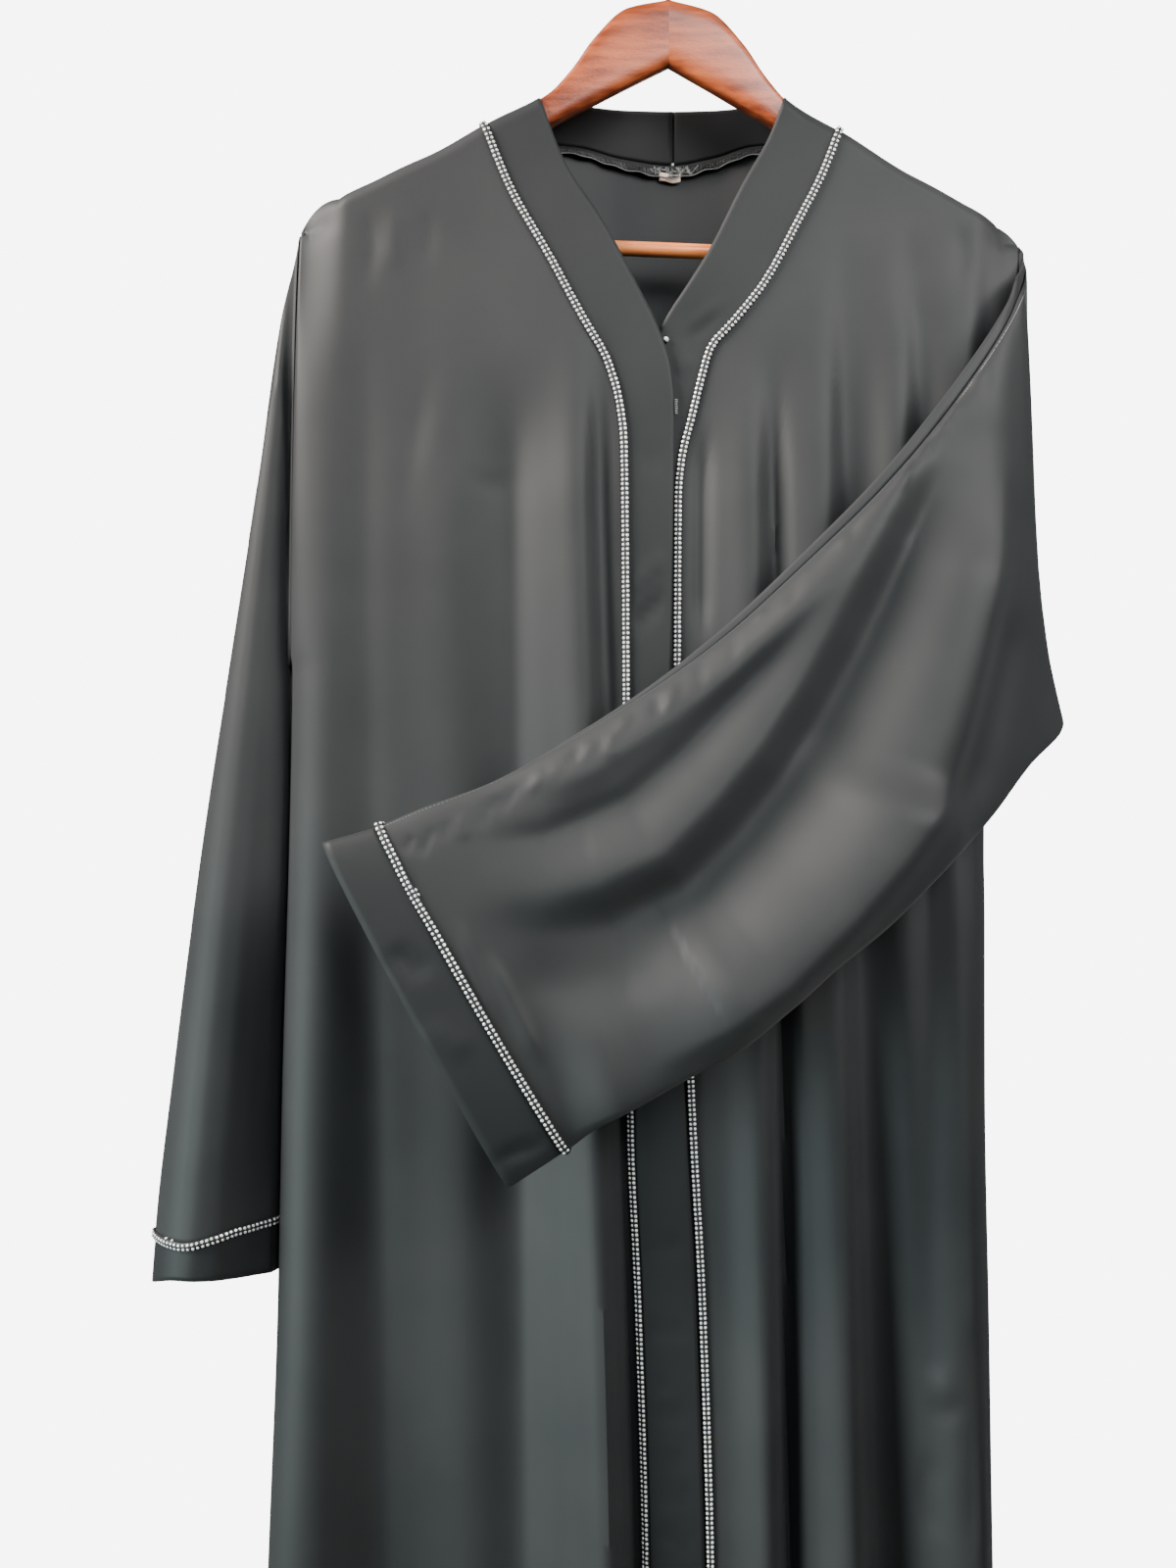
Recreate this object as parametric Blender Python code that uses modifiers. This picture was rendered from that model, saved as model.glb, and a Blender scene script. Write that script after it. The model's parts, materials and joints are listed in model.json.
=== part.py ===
"""An abaya on a wooden hanger, with its left sleeve drawn across the front.

Metres, +Z up. The front faces -Y and +X is the wearer's left. The origin is the inside top of
the hanger's hook, where a rail carries the whole thing. Each piece that is cut and sewn on is
one wall of cloth: a grid of points worked out from the tables below, thickened by Solidify.
"""
import math
from collections import namedtuple

import bmesh
import bpy
from mathutils import Vector

# ---------------------------------------------------------------- driving dimensions
CLOTH = 0.0013             # wall of every cloth piece
SEAM_GAP = 0.0003          # air between two sewn pieces
ARMHOLE_GAP = 0.0006       # the sleeve's first ring stands this far out from the armhole
LIP = CLOTH / 2 + SEAM_GAP / 2   # centre of a wall whose seam is pressed flat on its neighbour
SHOULDER_SEAM = 0.0004     # half the distance between front and back on the hanger
HEM_Z = -1.550
SECTION_POWER = 0.8        # fullness of a sleeve's section, 1 is an ellipse

ARM_HALF_THICK = 0.0070    # wooden hanger, half its thickness
ARM_LEAN = 0.040           # drop of the hanger for each metre towards +X
ARM_SECTION = 0.7          # roundness of the wood's section, 1 is an ellipse
CLOTH_OVER_ARM = 0.0014    # centre of the cloth above the wood
SHOULDER_ROLL = 0.0096     # radius of the cloth over the hanger
TIP_DROP = 681.0           # drop of the shoulder past the hanger, per cubed metre

BAR_RADIUS = 0.0048
BAR_HALF = 0.1830
BAR_Z = -0.2312
BAR_HOLE_DEPTH = 0.0150
FIT_GAP = 0.0003           # air round a piece that is set into another

WIRE_RADIUS = 0.0017
HOOK_BEND = 0.0200         # centre of the wire to the centre of its bend
SHANK_DEPTH = 0.0120       # length of the wire inside the wood

TAPE_HALF = 0.0035         # stone-set tape
TAPE_THICK = 0.0010
TAPE_GAP = 0.0005          # air between a tape and the cloth it lies on
TAPE_LIFT = CLOTH / 2 + TAPE_GAP + TAPE_THICK / 2
CUFF_TAPE_SHARE = 0.012    # half of the tape as a share of a sleeve's length

# ---------------------------------------------------------------- tables
# Hanger arm: distance from the middle, top edge and lower edge.
ArmRow = namedtuple("ArmRow", "out top low")
ARM_ROWS = (
    ArmRow(0.0000, -0.0700, -0.1125),
    ArmRow(0.0270, -0.0765, -0.1270),
    ArmRow(0.0490, -0.0975, -0.1390),
    ArmRow(0.0620, -0.1165, -0.1460),
    ArmRow(0.0780, -0.1342, -0.1550),
    ArmRow(0.1150, -0.1548, -0.1760),
    ArmRow(0.1500, -0.1766, -0.1990),
    ArmRow(0.1660, -0.1846, -0.2200),
    ArmRow(0.1720, -0.1876, -0.2400),
    ArmRow(0.1900, -0.1974, -0.2440),
    ArmRow(0.2050, -0.2051, -0.2400),
    ArmRow(0.2120, -0.2095, -0.2330),
    ArmRow(0.2160, -0.2150, -0.2260),
)
ARM_OUTS = (0.010, 0.019, 0.027, 0.035, 0.042, 0.049, 0.056, 0.062, 0.070, 0.078, 0.095, 0.115,
            0.138, 0.155, 0.162, 0.167, 0.172, 0.181, 0.194, 0.205, 0.212, 0.216)
ARM_END = 0.2020           # the wood thins from here to its end
ARM_END_THIN = 0.55        # by this share

# Side edges of the body below the underarms.
EdgeRow = namedtuple("EdgeRow", "z right left")
EDGE_ROWS = (
    EdgeRow(-0.500, -0.2435, 0.2145),
    EdgeRow(-0.520, -0.2437, 0.2125),
    EdgeRow(-0.610, -0.2455, 0.2040),
    EdgeRow(-0.770, -0.2500, 0.2037),
    EdgeRow(-0.920, -0.2530, 0.2060),
    EdgeRow(-1.080, -0.2590, 0.2080),
    EdgeRow(-1.550, -0.2740, 0.2160),
)

# Armholes: upper and lower end of the seam, half its opening from front to back, and how far out
# the shoulder begins to drop away towards it.
Armhole = namedtuple("Armhole", "top_x top_z low_x low_z half_open tip")
ARMHOLES = {
    "right": Armhole(-0.2382, -0.2222, -0.2435, -0.5000, 0.0110, 0.206),
    "left": Armhole(0.2262, -0.2295, 0.2125, -0.5200, 0.0110, 0.200),
}

# How far front and back stand out beyond the hanger.
FullRow = namedtuple("FullRow", "z front back")
FULL_ROWS = (
    FullRow(-0.150, 0.000, 0.000),
    FullRow(-0.200, 0.003, 0.003),
    FullRow(-0.300, 0.011, 0.012),
    FullRow(-0.450, 0.018, 0.020),
    FullRow(-0.700, 0.024, 0.028),
    FullRow(-1.050, 0.031, 0.036),
    FullRow(-1.550, 0.041, 0.046),
)

# Long folds. x at two heights, widths to either side, height (minus is a valley) at the two
# heights, and where the fold begins.
FOLD_UPPER_Z = -0.400
FOLD_LOWER_Z = -1.100
FOLD_HEM_GROWTH = 0.40
Fold = namedtuple("Fold", "x_upper x_lower to_right to_left upper lower start_z")
FRONT_FOLDS = (
    Fold(-0.200, -0.205, 0.018, 0.026, -0.002, -0.011, -0.25),
    Fold(-0.160, -0.155, 0.040, 0.040, 0.002, 0.003, -0.25),
    Fold(-0.113, -0.120, 0.026, 0.020, -0.005, -0.003, -0.33),
    Fold(-0.078, -0.066, 0.030, 0.018, 0.006, 0.010, -0.26),
    Fold(-0.047, -0.031, 0.012, 0.011, -0.008, -0.009, -0.30),
    Fold(0.036, 0.056, 0.020, 0.012, 0.005, 0.012, -0.34),
    Fold(0.061, 0.073, 0.011, 0.009, -0.008, -0.019, -0.31),
    Fold(0.083, 0.089, 0.009, 0.022, 0.005, 0.010, -0.28),
    Fold(0.106, 0.127, 0.014, 0.016, -0.009, -0.010, -0.20),
    Fold(0.130, 0.160, 0.018, 0.022, 0.003, 0.005, -0.22),
    Fold(0.153, 0.150, 0.012, 0.012, -0.005, 0.000, -0.22),
    Fold(0.200, 0.200, 0.009, 0.009, -0.004, 0.000, -0.20),
)
BACK_FOLDS = (
    Fold(-0.190, -0.200, 0.030, 0.030, 0.004, 0.010, -0.22),
    Fold(-0.135, -0.145, 0.018, 0.022, -0.006, -0.012, -0.24),
    Fold(-0.085, -0.090, 0.020, 0.020, 0.005, 0.010, -0.24),
    Fold(-0.035, -0.030, 0.018, 0.020, -0.006, -0.013, -0.26),
    Fold(0.010, 0.020, 0.020, 0.020, 0.005, 0.011, -0.26),
    Fold(0.055, 0.070, 0.016, 0.020, -0.007, -0.014, -0.24),
    Fold(0.100, 0.115, 0.020, 0.020, 0.004, 0.010, -0.24),
    Fold(0.150, 0.155, 0.020, 0.018, -0.006, -0.011, -0.22),
    Fold(0.185, 0.185, 0.020, 0.020, 0.003, 0.008, -0.22),
)

# Front bands: height and x of the seam, then the band's free edge level with it.
BandRow = namedtuple("BandRow", "z x free_x free_z")
RIGHT_BAND_ROWS = (
    BandRow(-0.1505, -0.1200, -0.0840, -0.1318),
    BandRow(-0.1943, -0.1025, -0.0660, -0.1786),
    BandRow(-0.2397, -0.0773, -0.0440, -0.2133),
    BandRow(-0.2869, -0.0522, -0.0197, -0.2600),
    BandRow(-0.3088, -0.0397, -0.0072, -0.2869),
    BandRow(-0.3345, -0.0322, -0.0015, -0.3127),
    BandRow(-0.3605, -0.0292, 0.0006, -0.3376),
    BandRow(-0.3915, -0.0286, 0.0006, -0.3853),
    BandRow(-0.5155, -0.0274, 0.0002, -0.5155),
    BandRow(-0.6700, -0.0262, 0.0043, -0.6700),
    BandRow(-0.8000, -0.0245, 0.0096, -0.8000),
    BandRow(-0.9000, -0.0200, 0.0150, -0.9000),
    BandRow(-1.0735, -0.0150, 0.0204, -1.0735),
    BandRow(-1.5500, -0.0120, 0.0248, -1.5500),
)
LEFT_BAND_ROWS = (
    BandRow(-0.1556, 0.1100, 0.0750, -0.1348),
    BandRow(-0.1882, 0.0973, 0.0640, -0.1630),
    BandRow(-0.2164, 0.0828, 0.0464, -0.1944),
    BandRow(-0.2572, 0.0608, 0.0250, -0.2371),
    BandRow(-0.2855, 0.0388, 0.0106, -0.2603),
    BandRow(-0.2993, 0.0263, -0.0007, -0.2773),
    BandRow(-0.3200, 0.0200, -0.0095, -0.2950),
    BandRow(-0.3451, 0.0137, -0.0164, -0.3232),
    BandRow(-0.3703, 0.0075, -0.0208, -0.3514),
    BandRow(-0.3954, 0.0050, -0.0240, -0.3890),
    BandRow(-0.5147, 0.0044, -0.0245, -0.5147),
    BandRow(-0.6700, 0.0085, -0.0220, -0.6700),
    BandRow(-0.8000, 0.0138, -0.0195, -0.8000),
    BandRow(-0.9000, 0.0192, -0.0155, -0.9000),
    BandRow(-1.0735, 0.0246, -0.0100, -1.0735),
    BandRow(-1.5500, 0.0290, -0.0070, -1.5500),
)
BAND_UNDER = 0.0040        # the left front lies this far behind the right band
BAND_UNDER_START = -0.240
BAND_UNDER_RUN = 0.060
BAND_UNDER_WIDTH = 0.050

# Back neck: the band's seam with the back, then its free upper edge.
NeckRow = namedtuple("NeckRow", "x depth z free_x free_depth free_z")
NECK_ROWS = (
    NeckRow(-0.1030, 0.0160, -0.1545, -0.0775, 0.0140, -0.1285),
    NeckRow(-0.0850, 0.0245, -0.1515, -0.0655, 0.0205, -0.1268),
    NeckRow(-0.0600, 0.0330, -0.1510, -0.0490, 0.0280, -0.1262),
    NeckRow(-0.0300, 0.0385, -0.1565, -0.0255, 0.0335, -0.1260),
    NeckRow(0.0040, 0.0400, -0.1605, 0.0040, 0.0350, -0.1260),
    NeckRow(0.0330, 0.0385, -0.1560, 0.0290, 0.0335, -0.1262),
    NeckRow(0.0580, 0.0330, -0.1505, 0.0500, 0.0280, -0.1268),
    NeckRow(0.0790, 0.0245, -0.1520, 0.0610, 0.0205, -0.1280),
    NeckRow(0.0950, 0.0160, -0.1570, 0.0690, 0.0140, -0.1305),
)
NECK_PUSH_RUN = 0.100      # the collar's spring dies away in this length of the back
NECK_PUSH_SIDE = 0.016     # and in this distance outside the neck
NECK_GAP = 0.0010          # air in the neck seam, whose two walls lean apart
CREST_FADE = 8             # how soon a row stops following the shape of the hanger
ROLL_STEPS = (0.0, 22.5, 45.0, 67.5, 90.0)
ROLL_INSET = 0.0050        # the neck seam moves in this far while it crosses the hanger

EDGE_THREAD_THICK = 0.0008 # overlocked seam allowance inside the back neck
LABEL_THICK = 0.0008
LABEL_COLUMNS = ((-1, 0.21), (0, 0.0), (1, 0.28))   # share of the way to the next neck row
LABEL_ROWS = (2, 3, 4)     # rows of the back that the label hangs beside
SNAP = (-0.0025, -0.2943)  # pearl snap on the left band: x and z
SNAP_RADIUS = 0.0018

# Sleeves, from the armhole (0) to the cuff seam (1) and the cuff's end. Upper and lower seam,
# the way the back half faces (degrees in plan), how far each half stands off the line between
# the seams, how far the front half rolls over the upper seam, and how that line bends (1 is
# straight, more keeps it under the upper seam for longer).
SleeveRow = namedtuple(
    "SleeveRow", "share top_x top_y top_z low_x low_y low_z turn front back roll bend")
RIGHT_SLEEVE_ROWS = (
    SleeveRow(0.00, -0.2382, 0.000, -0.2222, -0.2435, 0.000, -0.500, 90, 0.011, 0.011, 0, 1),
    SleeveRow(0.03, -0.2435, 0.001, -0.2350, -0.2490, 0.002, -0.506, 90, 0.012, 0.012, 0, 1),
    SleeveRow(0.10, -0.2510, 0.002, -0.2760, -0.2540, 0.010, -0.530, 87, 0.015, 0.015, 0, 1),
    SleeveRow(0.25, -0.2635, 0.004, -0.3650, -0.2530, 0.028, -0.585, 85, 0.025, 0.020, 0, 1),
    SleeveRow(0.45, -0.2780, 0.004, -0.4850, -0.2450, 0.050, -0.655, 82, 0.045, 0.025, 0, 1),
    SleeveRow(0.65, -0.2905, 0.003, -0.6100, -0.2350, 0.072, -0.730, 79, 0.070, 0.028, 0, 1),
    SleeveRow(0.85, -0.3010, 0.001, -0.7400, -0.2220, 0.090, -0.805, 77, 0.092, 0.030, 0, 1),
    SleeveRow(1.00, -0.3085, 0.000, -0.8450, -0.2110, 0.102, -0.863, 76, 0.106, 0.030, 0, 1),
    SleeveRow(1.05, -0.3110, 0.000, -0.8820, -0.2090, 0.104, -0.899, 76, 0.107, 0.030, 0, 1),
)
LEFT_SLEEVE_ROWS = (
    SleeveRow(0.00, 0.2262, 0.000, -0.2295, 0.2125, 0.000, -0.520, 90, 0.011, 0.011, 0, 1),
    SleeveRow(0.03, 0.2290, -0.002, -0.2360, 0.2230, 0.002, -0.525, 82, 0.010, 0.009, 0.002, 1),
    SleeveRow(0.06, 0.2290, -0.007, -0.2440, 0.2430, 0.006, -0.530, 55, 0.007, 0.004, 0.004, 2.4),
    SleeveRow(0.10, 0.2265, -0.014, -0.2550, 0.2560, 0.003, -0.538, 10, 0.004, 0.002, 0.007, 3),
    SleeveRow(0.12, 0.2235, -0.020, -0.2610, 0.2515, -0.004, -0.545, -15, 0.004, 0.003, 0.009, 2.4),
    SleeveRow(0.14, 0.2200, -0.027, -0.2680, 0.2275, -0.020, -0.565, -40, 0.005, 0.007, 0.011, 1.4),
    SleeveRow(0.18, 0.2130, -0.034, -0.2840, 0.1991, -0.042, -0.596, -75, 0.007, 0.010, 0.014, 1),
    SleeveRow(0.22, 0.2020, -0.041, -0.3030, 0.1800, -0.053, -0.615, -88, 0.008, 0.012, 0.016, 1),
    SleeveRow(0.30, 0.1658, -0.050, -0.3535, 0.1551, -0.062, -0.637, -90, 0.008, 0.016, 0.015, 1),
    SleeveRow(0.39, 0.1281, -0.057, -0.3972, 0.1260, -0.068, -0.664, -90, 0.009, 0.019, 0.012, 1),
    SleeveRow(0.48, 0.0790, -0.063, -0.4450, 0.0953, -0.073, -0.687, -90, 0.010, 0.021, 0.009, 1),
    SleeveRow(0.57, 0.0306, -0.070, -0.4888, 0.0651, -0.079, -0.712, -91, 0.011, 0.022, 0.007, 1),
    SleeveRow(0.66, -0.0170, -0.078, -0.5236, 0.0352, -0.085, -0.735, -92, 0.011, 0.021, 0.004, 1),
    SleeveRow(0.75, -0.0638, -0.086, -0.5525, 0.0086, -0.091, -0.748, -93, 0.011, 0.019, 0.002, 1),
    SleeveRow(0.84, -0.1098, -0.094, -0.5775, -0.0177, -0.097, -0.762, -94, 0.011, 0.017, 0, 1),
    SleeveRow(0.93, -0.1495, -0.100, -0.5924, -0.0465, -0.102, -0.777, -95, 0.011, 0.016, 0, 1),
    SleeveRow(1.00, -0.1730, -0.104, -0.6020, -0.0647, -0.104, -0.790, -96, 0.011, 0.015, 0, 1),
    SleeveRow(1.08, -0.2053, -0.108, -0.6115, -0.0976, -0.107, -0.811, -97, 0.012, 0.014, 0, 1),
)
ROLL_PEAK = 0.060          # where round the section the roll is highest

# Large folds on the drawn sleeve's outer half: from one place (share, round) to another,
# half width in metres, and depth (minus is a valley).
SleeveFold = namedtuple("SleeveFold", "share round to_share to_round half_width depth")
LEFT_SLEEVE_FOLDS = (
    SleeveFold(0.15, 0.30, 0.28, 0.78, 0.013, 0.005),
    SleeveFold(0.20, 0.18, 0.34, 0.30, 0.016, -0.007),
    SleeveFold(0.34, 0.30, 0.62, 0.52, 0.022, -0.008),
    SleeveFold(0.50, 0.15, 0.80, 0.38, 0.014, -0.004),
    SleeveFold(0.24, 0.55, 0.50, 0.75, 0.026, 0.004),
)
SIDE_CLEAR = 0.0062        # the hanging sleeve keeps this far off the body's side edge
SIDE_CLEAR_DEPTH = 0.016   # and behind this depth it may come in
SIDE_CLEAR_SLOPE = 0.5     # by this much for each metre of depth
SLEEVE_FOLD_LENGTH = 0.60  # length of a sleeve, for measuring along its folds
SLEEVE_FOLD_HEIGHT = 0.33  # distance between its seams, likewise

# ---------------------------------------------------------------- grid spacing
UPPER_SHARES = (0.015, 0.032, 0.050, 0.067, 0.083, 0.099, 0.114, 0.130, 0.150, 0.175)
LOWER_SHARES = (0.265, 0.330, 0.410, 0.500, 0.600, 0.700, 0.800, 0.900, 1.000)
EDGE_COLUMNS = (0.0, 0.012, 0.035, 0.070, 0.110)
FRONT_COLUMNS = 16
BAND_COLUMNS = (0.0, 0.34, 0.67, 1.0)
SHOULDER_COLUMNS = (0.0, 0.025, 0.07, 0.15, 0.26, 0.38, 0.50, 0.62, 0.75, 0.88, 1.0)
SECTION_COLUMNS = (0.0, 0.025, 0.06, 0.11, 0.17, 0.25, 0.34, 0.43, 0.52, 0.61, 0.70, 0.79, 0.88,
                   0.955, 1.0)
RIGHT_SLEEVE_SHARES = (0.0, 0.03, 0.10, 0.18, 0.27, 0.37, 0.48, 0.60, 0.72, 0.86, 1.0)
LEFT_SLEEVE_SHARES = (0.0, 0.03, 0.06, 0.09, 0.12, 0.14, 0.165, 0.19, 0.22, 0.26, 0.32, 0.40, 0.49,
                      0.59, 0.70, 0.82, 0.92, 1.0)

COLOURS = {
    # name: base colour, roughness, metallic
    "black_crepe": ((0.018, 0.019, 0.022), 0.62, 0.0),
    "band_crepe": ((0.014, 0.015, 0.018), 0.66, 0.0),
    "stone_tape": ((0.62, 0.62, 0.60), 0.30, 0.4),
    "overlock_thread": ((0.05, 0.05, 0.055), 0.85, 0.0),
    "label_satin": ((0.62, 0.50, 0.42), 0.60, 0.0),
    "pearl_snap": ((0.86, 0.86, 0.84), 0.20, 0.0),
    "hanger_wood": ((0.30, 0.11, 0.055), 0.38, 0.0),
    "bar_wood": ((0.42, 0.13, 0.05), 0.30, 0.0),
    "hook_wire": ((0.66, 0.66, 0.67), 0.28, 1.0),
}


# ---------------------------------------------------------------- reading the tables
def mix(low, high, share):
    return low + (high - low) * share


def ease(share):
    """0 to 1 with level ends."""
    share = min(max(share, 0.0), 1.0)
    return share * share * (3.0 - 2.0 * share)


def arc(share):
    """0 to 1 along a quarter circle: steep at 0, level at 1."""
    share = min(max(share, 0.0), 1.0)
    return math.sqrt(1.0 - (1.0 - share) ** 2)


def row_slope(rows, column, index):
    """Slope of a column at a row, level at a turn so that the curve never overshoots."""
    def between(a, b):
        return (rows[b][column] - rows[a][column]) / (rows[b][0] - rows[a][0])

    if index == 0:
        return between(0, 1)
    if index == len(rows) - 1:
        return between(index - 1, index)
    before, after = between(index - 1, index), between(index, index + 1)
    if before * after <= 0.0:
        return 0.0
    return 2.0 * before * after / (before + after)


def read_table(rows, key):
    """The row at any value of the first column, on a smooth curve through the rows."""
    way = 1.0 if rows[-1][0] > rows[0][0] else -1.0
    index = 0
    while index < len(rows) - 2 and (key - rows[index + 1][0]) * way > 0.0:
        index += 1
    low, high = rows[index], rows[index + 1]
    span = high[0] - low[0]
    t = min(max((key - low[0]) / span, 0.0), 1.0)
    values = [key]
    for column in range(1, len(low)):
        start = row_slope(rows, column, index) * span
        end = row_slope(rows, column, index + 1) * span
        values.append((2 * t ** 3 - 3 * t ** 2 + 1) * low[column] + (t ** 3 - 2 * t ** 2 + t) * start
                      + (3 * t ** 2 - 2 * t ** 3) * high[column] + (t ** 3 - t ** 2) * end)
    return type(low)(*values)


# ---------------------------------------------------------------- the body's surfaces
def shoulder_z(x):
    """Height of the cloth's centre where it crosses the hanger."""
    out = abs(x)
    top = read_table(ARM_ROWS, min(out, ARM_ROWS[-2].out)).top
    tip = ARMHOLES["right" if x < 0.0 else "left"].tip
    drop = TIP_DROP * max(out - tip, 0.0) ** 3
    return top - ARM_LEAN * x + CLOTH_OVER_ARM - drop


def body_edge(side, z):
    """x of the body's edge: the armhole's chord, and the side seam below it."""
    hole = ARMHOLES[side]
    if z > hole.low_z:
        return mix(hole.low_x, hole.top_x, (z - hole.low_z) / (hole.top_z - hole.low_z))
    return getattr(read_table(EDGE_ROWS, z), side)


def armhole_depth(side, z):
    """How far the armhole's edge stands off the hanger's plane at a height."""
    hole = ARMHOLES[side]
    half = (hole.top_z - hole.low_z) / 2
    level = (z - (hole.top_z - half)) / half
    return hole.half_open * max(1.0 - level * level, 0.0) ** (SECTION_POWER / 2)


def fold_height(fold, x, z):
    """How far one long fold lifts the cloth."""
    if z > FOLD_UPPER_Z:
        height = fold.upper * ease((fold.start_z - z) / (fold.start_z - FOLD_UPPER_Z))
    else:
        height = mix(fold.upper, fold.lower, ease((FOLD_UPPER_Z - z) / (FOLD_UPPER_Z - FOLD_LOWER_Z)))
    hem_share = max(FOLD_LOWER_Z - z, 0.0) / (FOLD_LOWER_Z - HEM_Z)
    height *= 1.0 + FOLD_HEM_GROWTH * hem_share
    run = (FOLD_UPPER_Z - z) / (FOLD_UPPER_Z - FOLD_LOWER_Z)
    away = x - mix(fold.x_upper, fold.x_lower, max(run, 0.0))
    width = fold.to_left if away > 0.0 else fold.to_right
    return height * math.exp(-(away / width) ** 2)


def body_depth(face, x, z):
    """Distance of the front or back from the hanger's plane."""
    right, left = body_edge("right", z), body_edge("left", z)
    side = "right" if x - right < left - x else "left"
    inset = max(min(x - right, left - x), 0.0)
    below_arm = ease((ARMHOLES[side].low_z - z) / 0.15)
    inner = mix(ease(inset / 0.032), arc(inset / 0.030), below_arm)
    roll = SHOULDER_ROLL * arc((shoulder_z(x) - z) / SHOULDER_ROLL)
    middle = (2 * x - right - left) / (left - right)
    full = getattr(read_table(FULL_ROWS, z), face) * (1.0 - 0.25 * middle * middle)
    folds = FRONT_FOLDS if face == "front" else BACK_FOLDS
    raised = sum(fold_height(fold, x, z) for fold in folds)
    seam = mix(LIP, SHOULDER_SEAM, ease(inset / 0.030))
    return seam + mix(armhole_depth(side, z), roll + full + raised, inner)


def left_under(x, z):
    """How far the left front is tucked back to lie under the right band."""
    start = ease((BAND_UNDER_START - z) / BAND_UNDER_RUN)
    return BAND_UNDER * start * (1.0 - ease((x - 0.008) / BAND_UNDER_WIDTH))


def front_point(side, x, z):
    depth = body_depth("front", x, z)
    if side == "left":
        depth -= left_under(x, z)
    return Vector((x, -depth, z))


def back_point(x, z):
    """A point of the back, pushed out by the collar near the neck."""
    near_x = min(max(x, NECK_ROWS[0].x), NECK_ROWS[-1].x)
    neck = read_table(NECK_ROWS, near_x)
    push = neck.depth - body_depth("back", near_x, neck.z)
    push *= ease(1.0 - abs(x - near_x) / NECK_PUSH_SIDE) * math.exp((z - neck.z) / NECK_PUSH_RUN)
    return Vector((x, body_depth("back", x, z) + max(push, 0.0), z))


# ---------------------------------------------------------------- rows shared along the seams
def body_shares(side):
    """Shares of the way down the side edge at which the body has its rows."""
    hole = ARMHOLES[side]
    length = hole.top_z - HEM_Z
    rolls = [SHOULDER_ROLL * (1 - math.cos(math.radians(step))) / length for step in ROLL_STEPS]
    return rolls + list(UPPER_SHARES) + [(hole.top_z - hole.low_z) / length] + list(LOWER_SHARES)


def band_row(side, share):
    """The band's seam and free edge in the row at a share of the way down."""
    rows = RIGHT_BAND_ROWS if side == "right" else LEFT_BAND_ROWS
    return read_table(rows, mix(rows[0].z, HEM_Z, share))


def side_step(side):
    """+1 from the front's panel towards its band."""
    return 1.0 if side == "right" else -1.0


def seam_shift(points, index, distance):
    """Move a point of a seam square to it, in the plane of the front."""
    before, after = points[max(index - 1, 0)], points[min(index + 1, len(points) - 1)]
    along = Vector((after.x - before.x, 0.0, after.z - before.z)).normalized()
    return Vector((-along.z * distance, 0.0, along.x * distance))


def front_seam(side):
    """The seam between front and band, one point a row, starting on the hanger's crest."""
    seam = []
    for share in body_shares(side):
        row = band_row(side, share)
        seam.append(Vector((row.x, 0.0, row.z)))
    rise = shoulder_z(seam[0].x) - seam[0].z
    for point, share in zip(seam, body_shares(side)):
        point.z += rise * (1.0 - share) ** CREST_FADE
    return seam


def front_rows(side):
    """Rows of points of a front panel, from its side edge to its band seam."""
    hole = ARMHOLES[side]
    seam = front_seam(side)
    columns = list(EDGE_COLUMNS) + [mix(0.110, 1.0, (i + 1) / FRONT_COLUMNS) for i in range(FRONT_COLUMNS)]
    inward = side_step(side)
    rows = []
    for index, share in enumerate(body_shares(side)):
        edge_z = mix(hole.top_z, HEM_Z, share)
        edge_x = body_edge(side, edge_z) + inward * (SEAM_GAP if edge_z > hole.low_z else 0.0)
        end = seam[index] + seam_shift(seam, index, SEAM_GAP / 2) * -inward
        row = []
        for column in columns:
            x = mix(edge_x, end.x, column)
            z = mix(edge_z, end.z, column)
            rise = shoulder_z(mix(hole.top_x, seam[0].x, column)) - mix(hole.top_z, seam[0].z, column)
            z = min(z + rise * (1.0 - share) ** CREST_FADE, shoulder_z(x))
            row.append(front_point(side, x, max(z, HEM_Z)))
        rows.append(row)
    return rows


def roll_crossing(side, step):
    """The back half of the band's seam and free edge where they cross the hanger."""
    rows = RIGHT_BAND_ROWS if side == "right" else LEFT_BAND_ROWS
    neck = NECK_ROWS[0] if side == "right" else NECK_ROWS[-1]
    turn = math.radians(step)
    share = step / 90.0
    x = rows[0].x + side_step(side) * ROLL_INSET * share
    seam = back_point(x, shoulder_z(x) - SHOULDER_ROLL * (1 - math.cos(turn)))
    free = Vector((mix(rows[0].free_x, neck.free_x, share * 0.3), seam.y * 0.95,
                   mix(shoulder_z(rows[0].free_x), neck.free_z, share * 0.5)))
    return seam, free


def neck_line():
    """Seam and free edge of the bands behind the hanger, from the right shoulder to the left."""
    line = [roll_crossing("right", step) for step in ROLL_STEPS[1:]]
    for row in NECK_ROWS:
        line.append((Vector((row.x, row.depth, row.z)), Vector((row.free_x, row.free_depth, row.free_z))))
    return line + [roll_crossing("left", step) for step in ROLL_STEPS[:0:-1]]


def band_ends(side):
    """Seam and free edge of a band from the centre back over the shoulder to the hem."""
    line = neck_line()
    middle = len(line) // 2
    ends = []
    for seam, free in line[middle::-1] if side == "right" else line[middle:]:
        ends.append((seam + (free - seam).normalized() * NECK_GAP / 2, free))
    half_gap = Vector((side_step(side) * SEAM_GAP / 2, 0.0, 0.0))
    ends[0] = (ends[0][0] - half_gap, ends[0][1] - half_gap)
    seam = front_seam(side)
    for index, share in enumerate(body_shares(side)):
        row = band_row(side, share)
        start = seam[index] + seam_shift(seam, index, SEAM_GAP / 2) * side_step(side)
        ends.append((start, Vector((row.free_x, 0.0, row.free_z))))
    return ends


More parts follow.
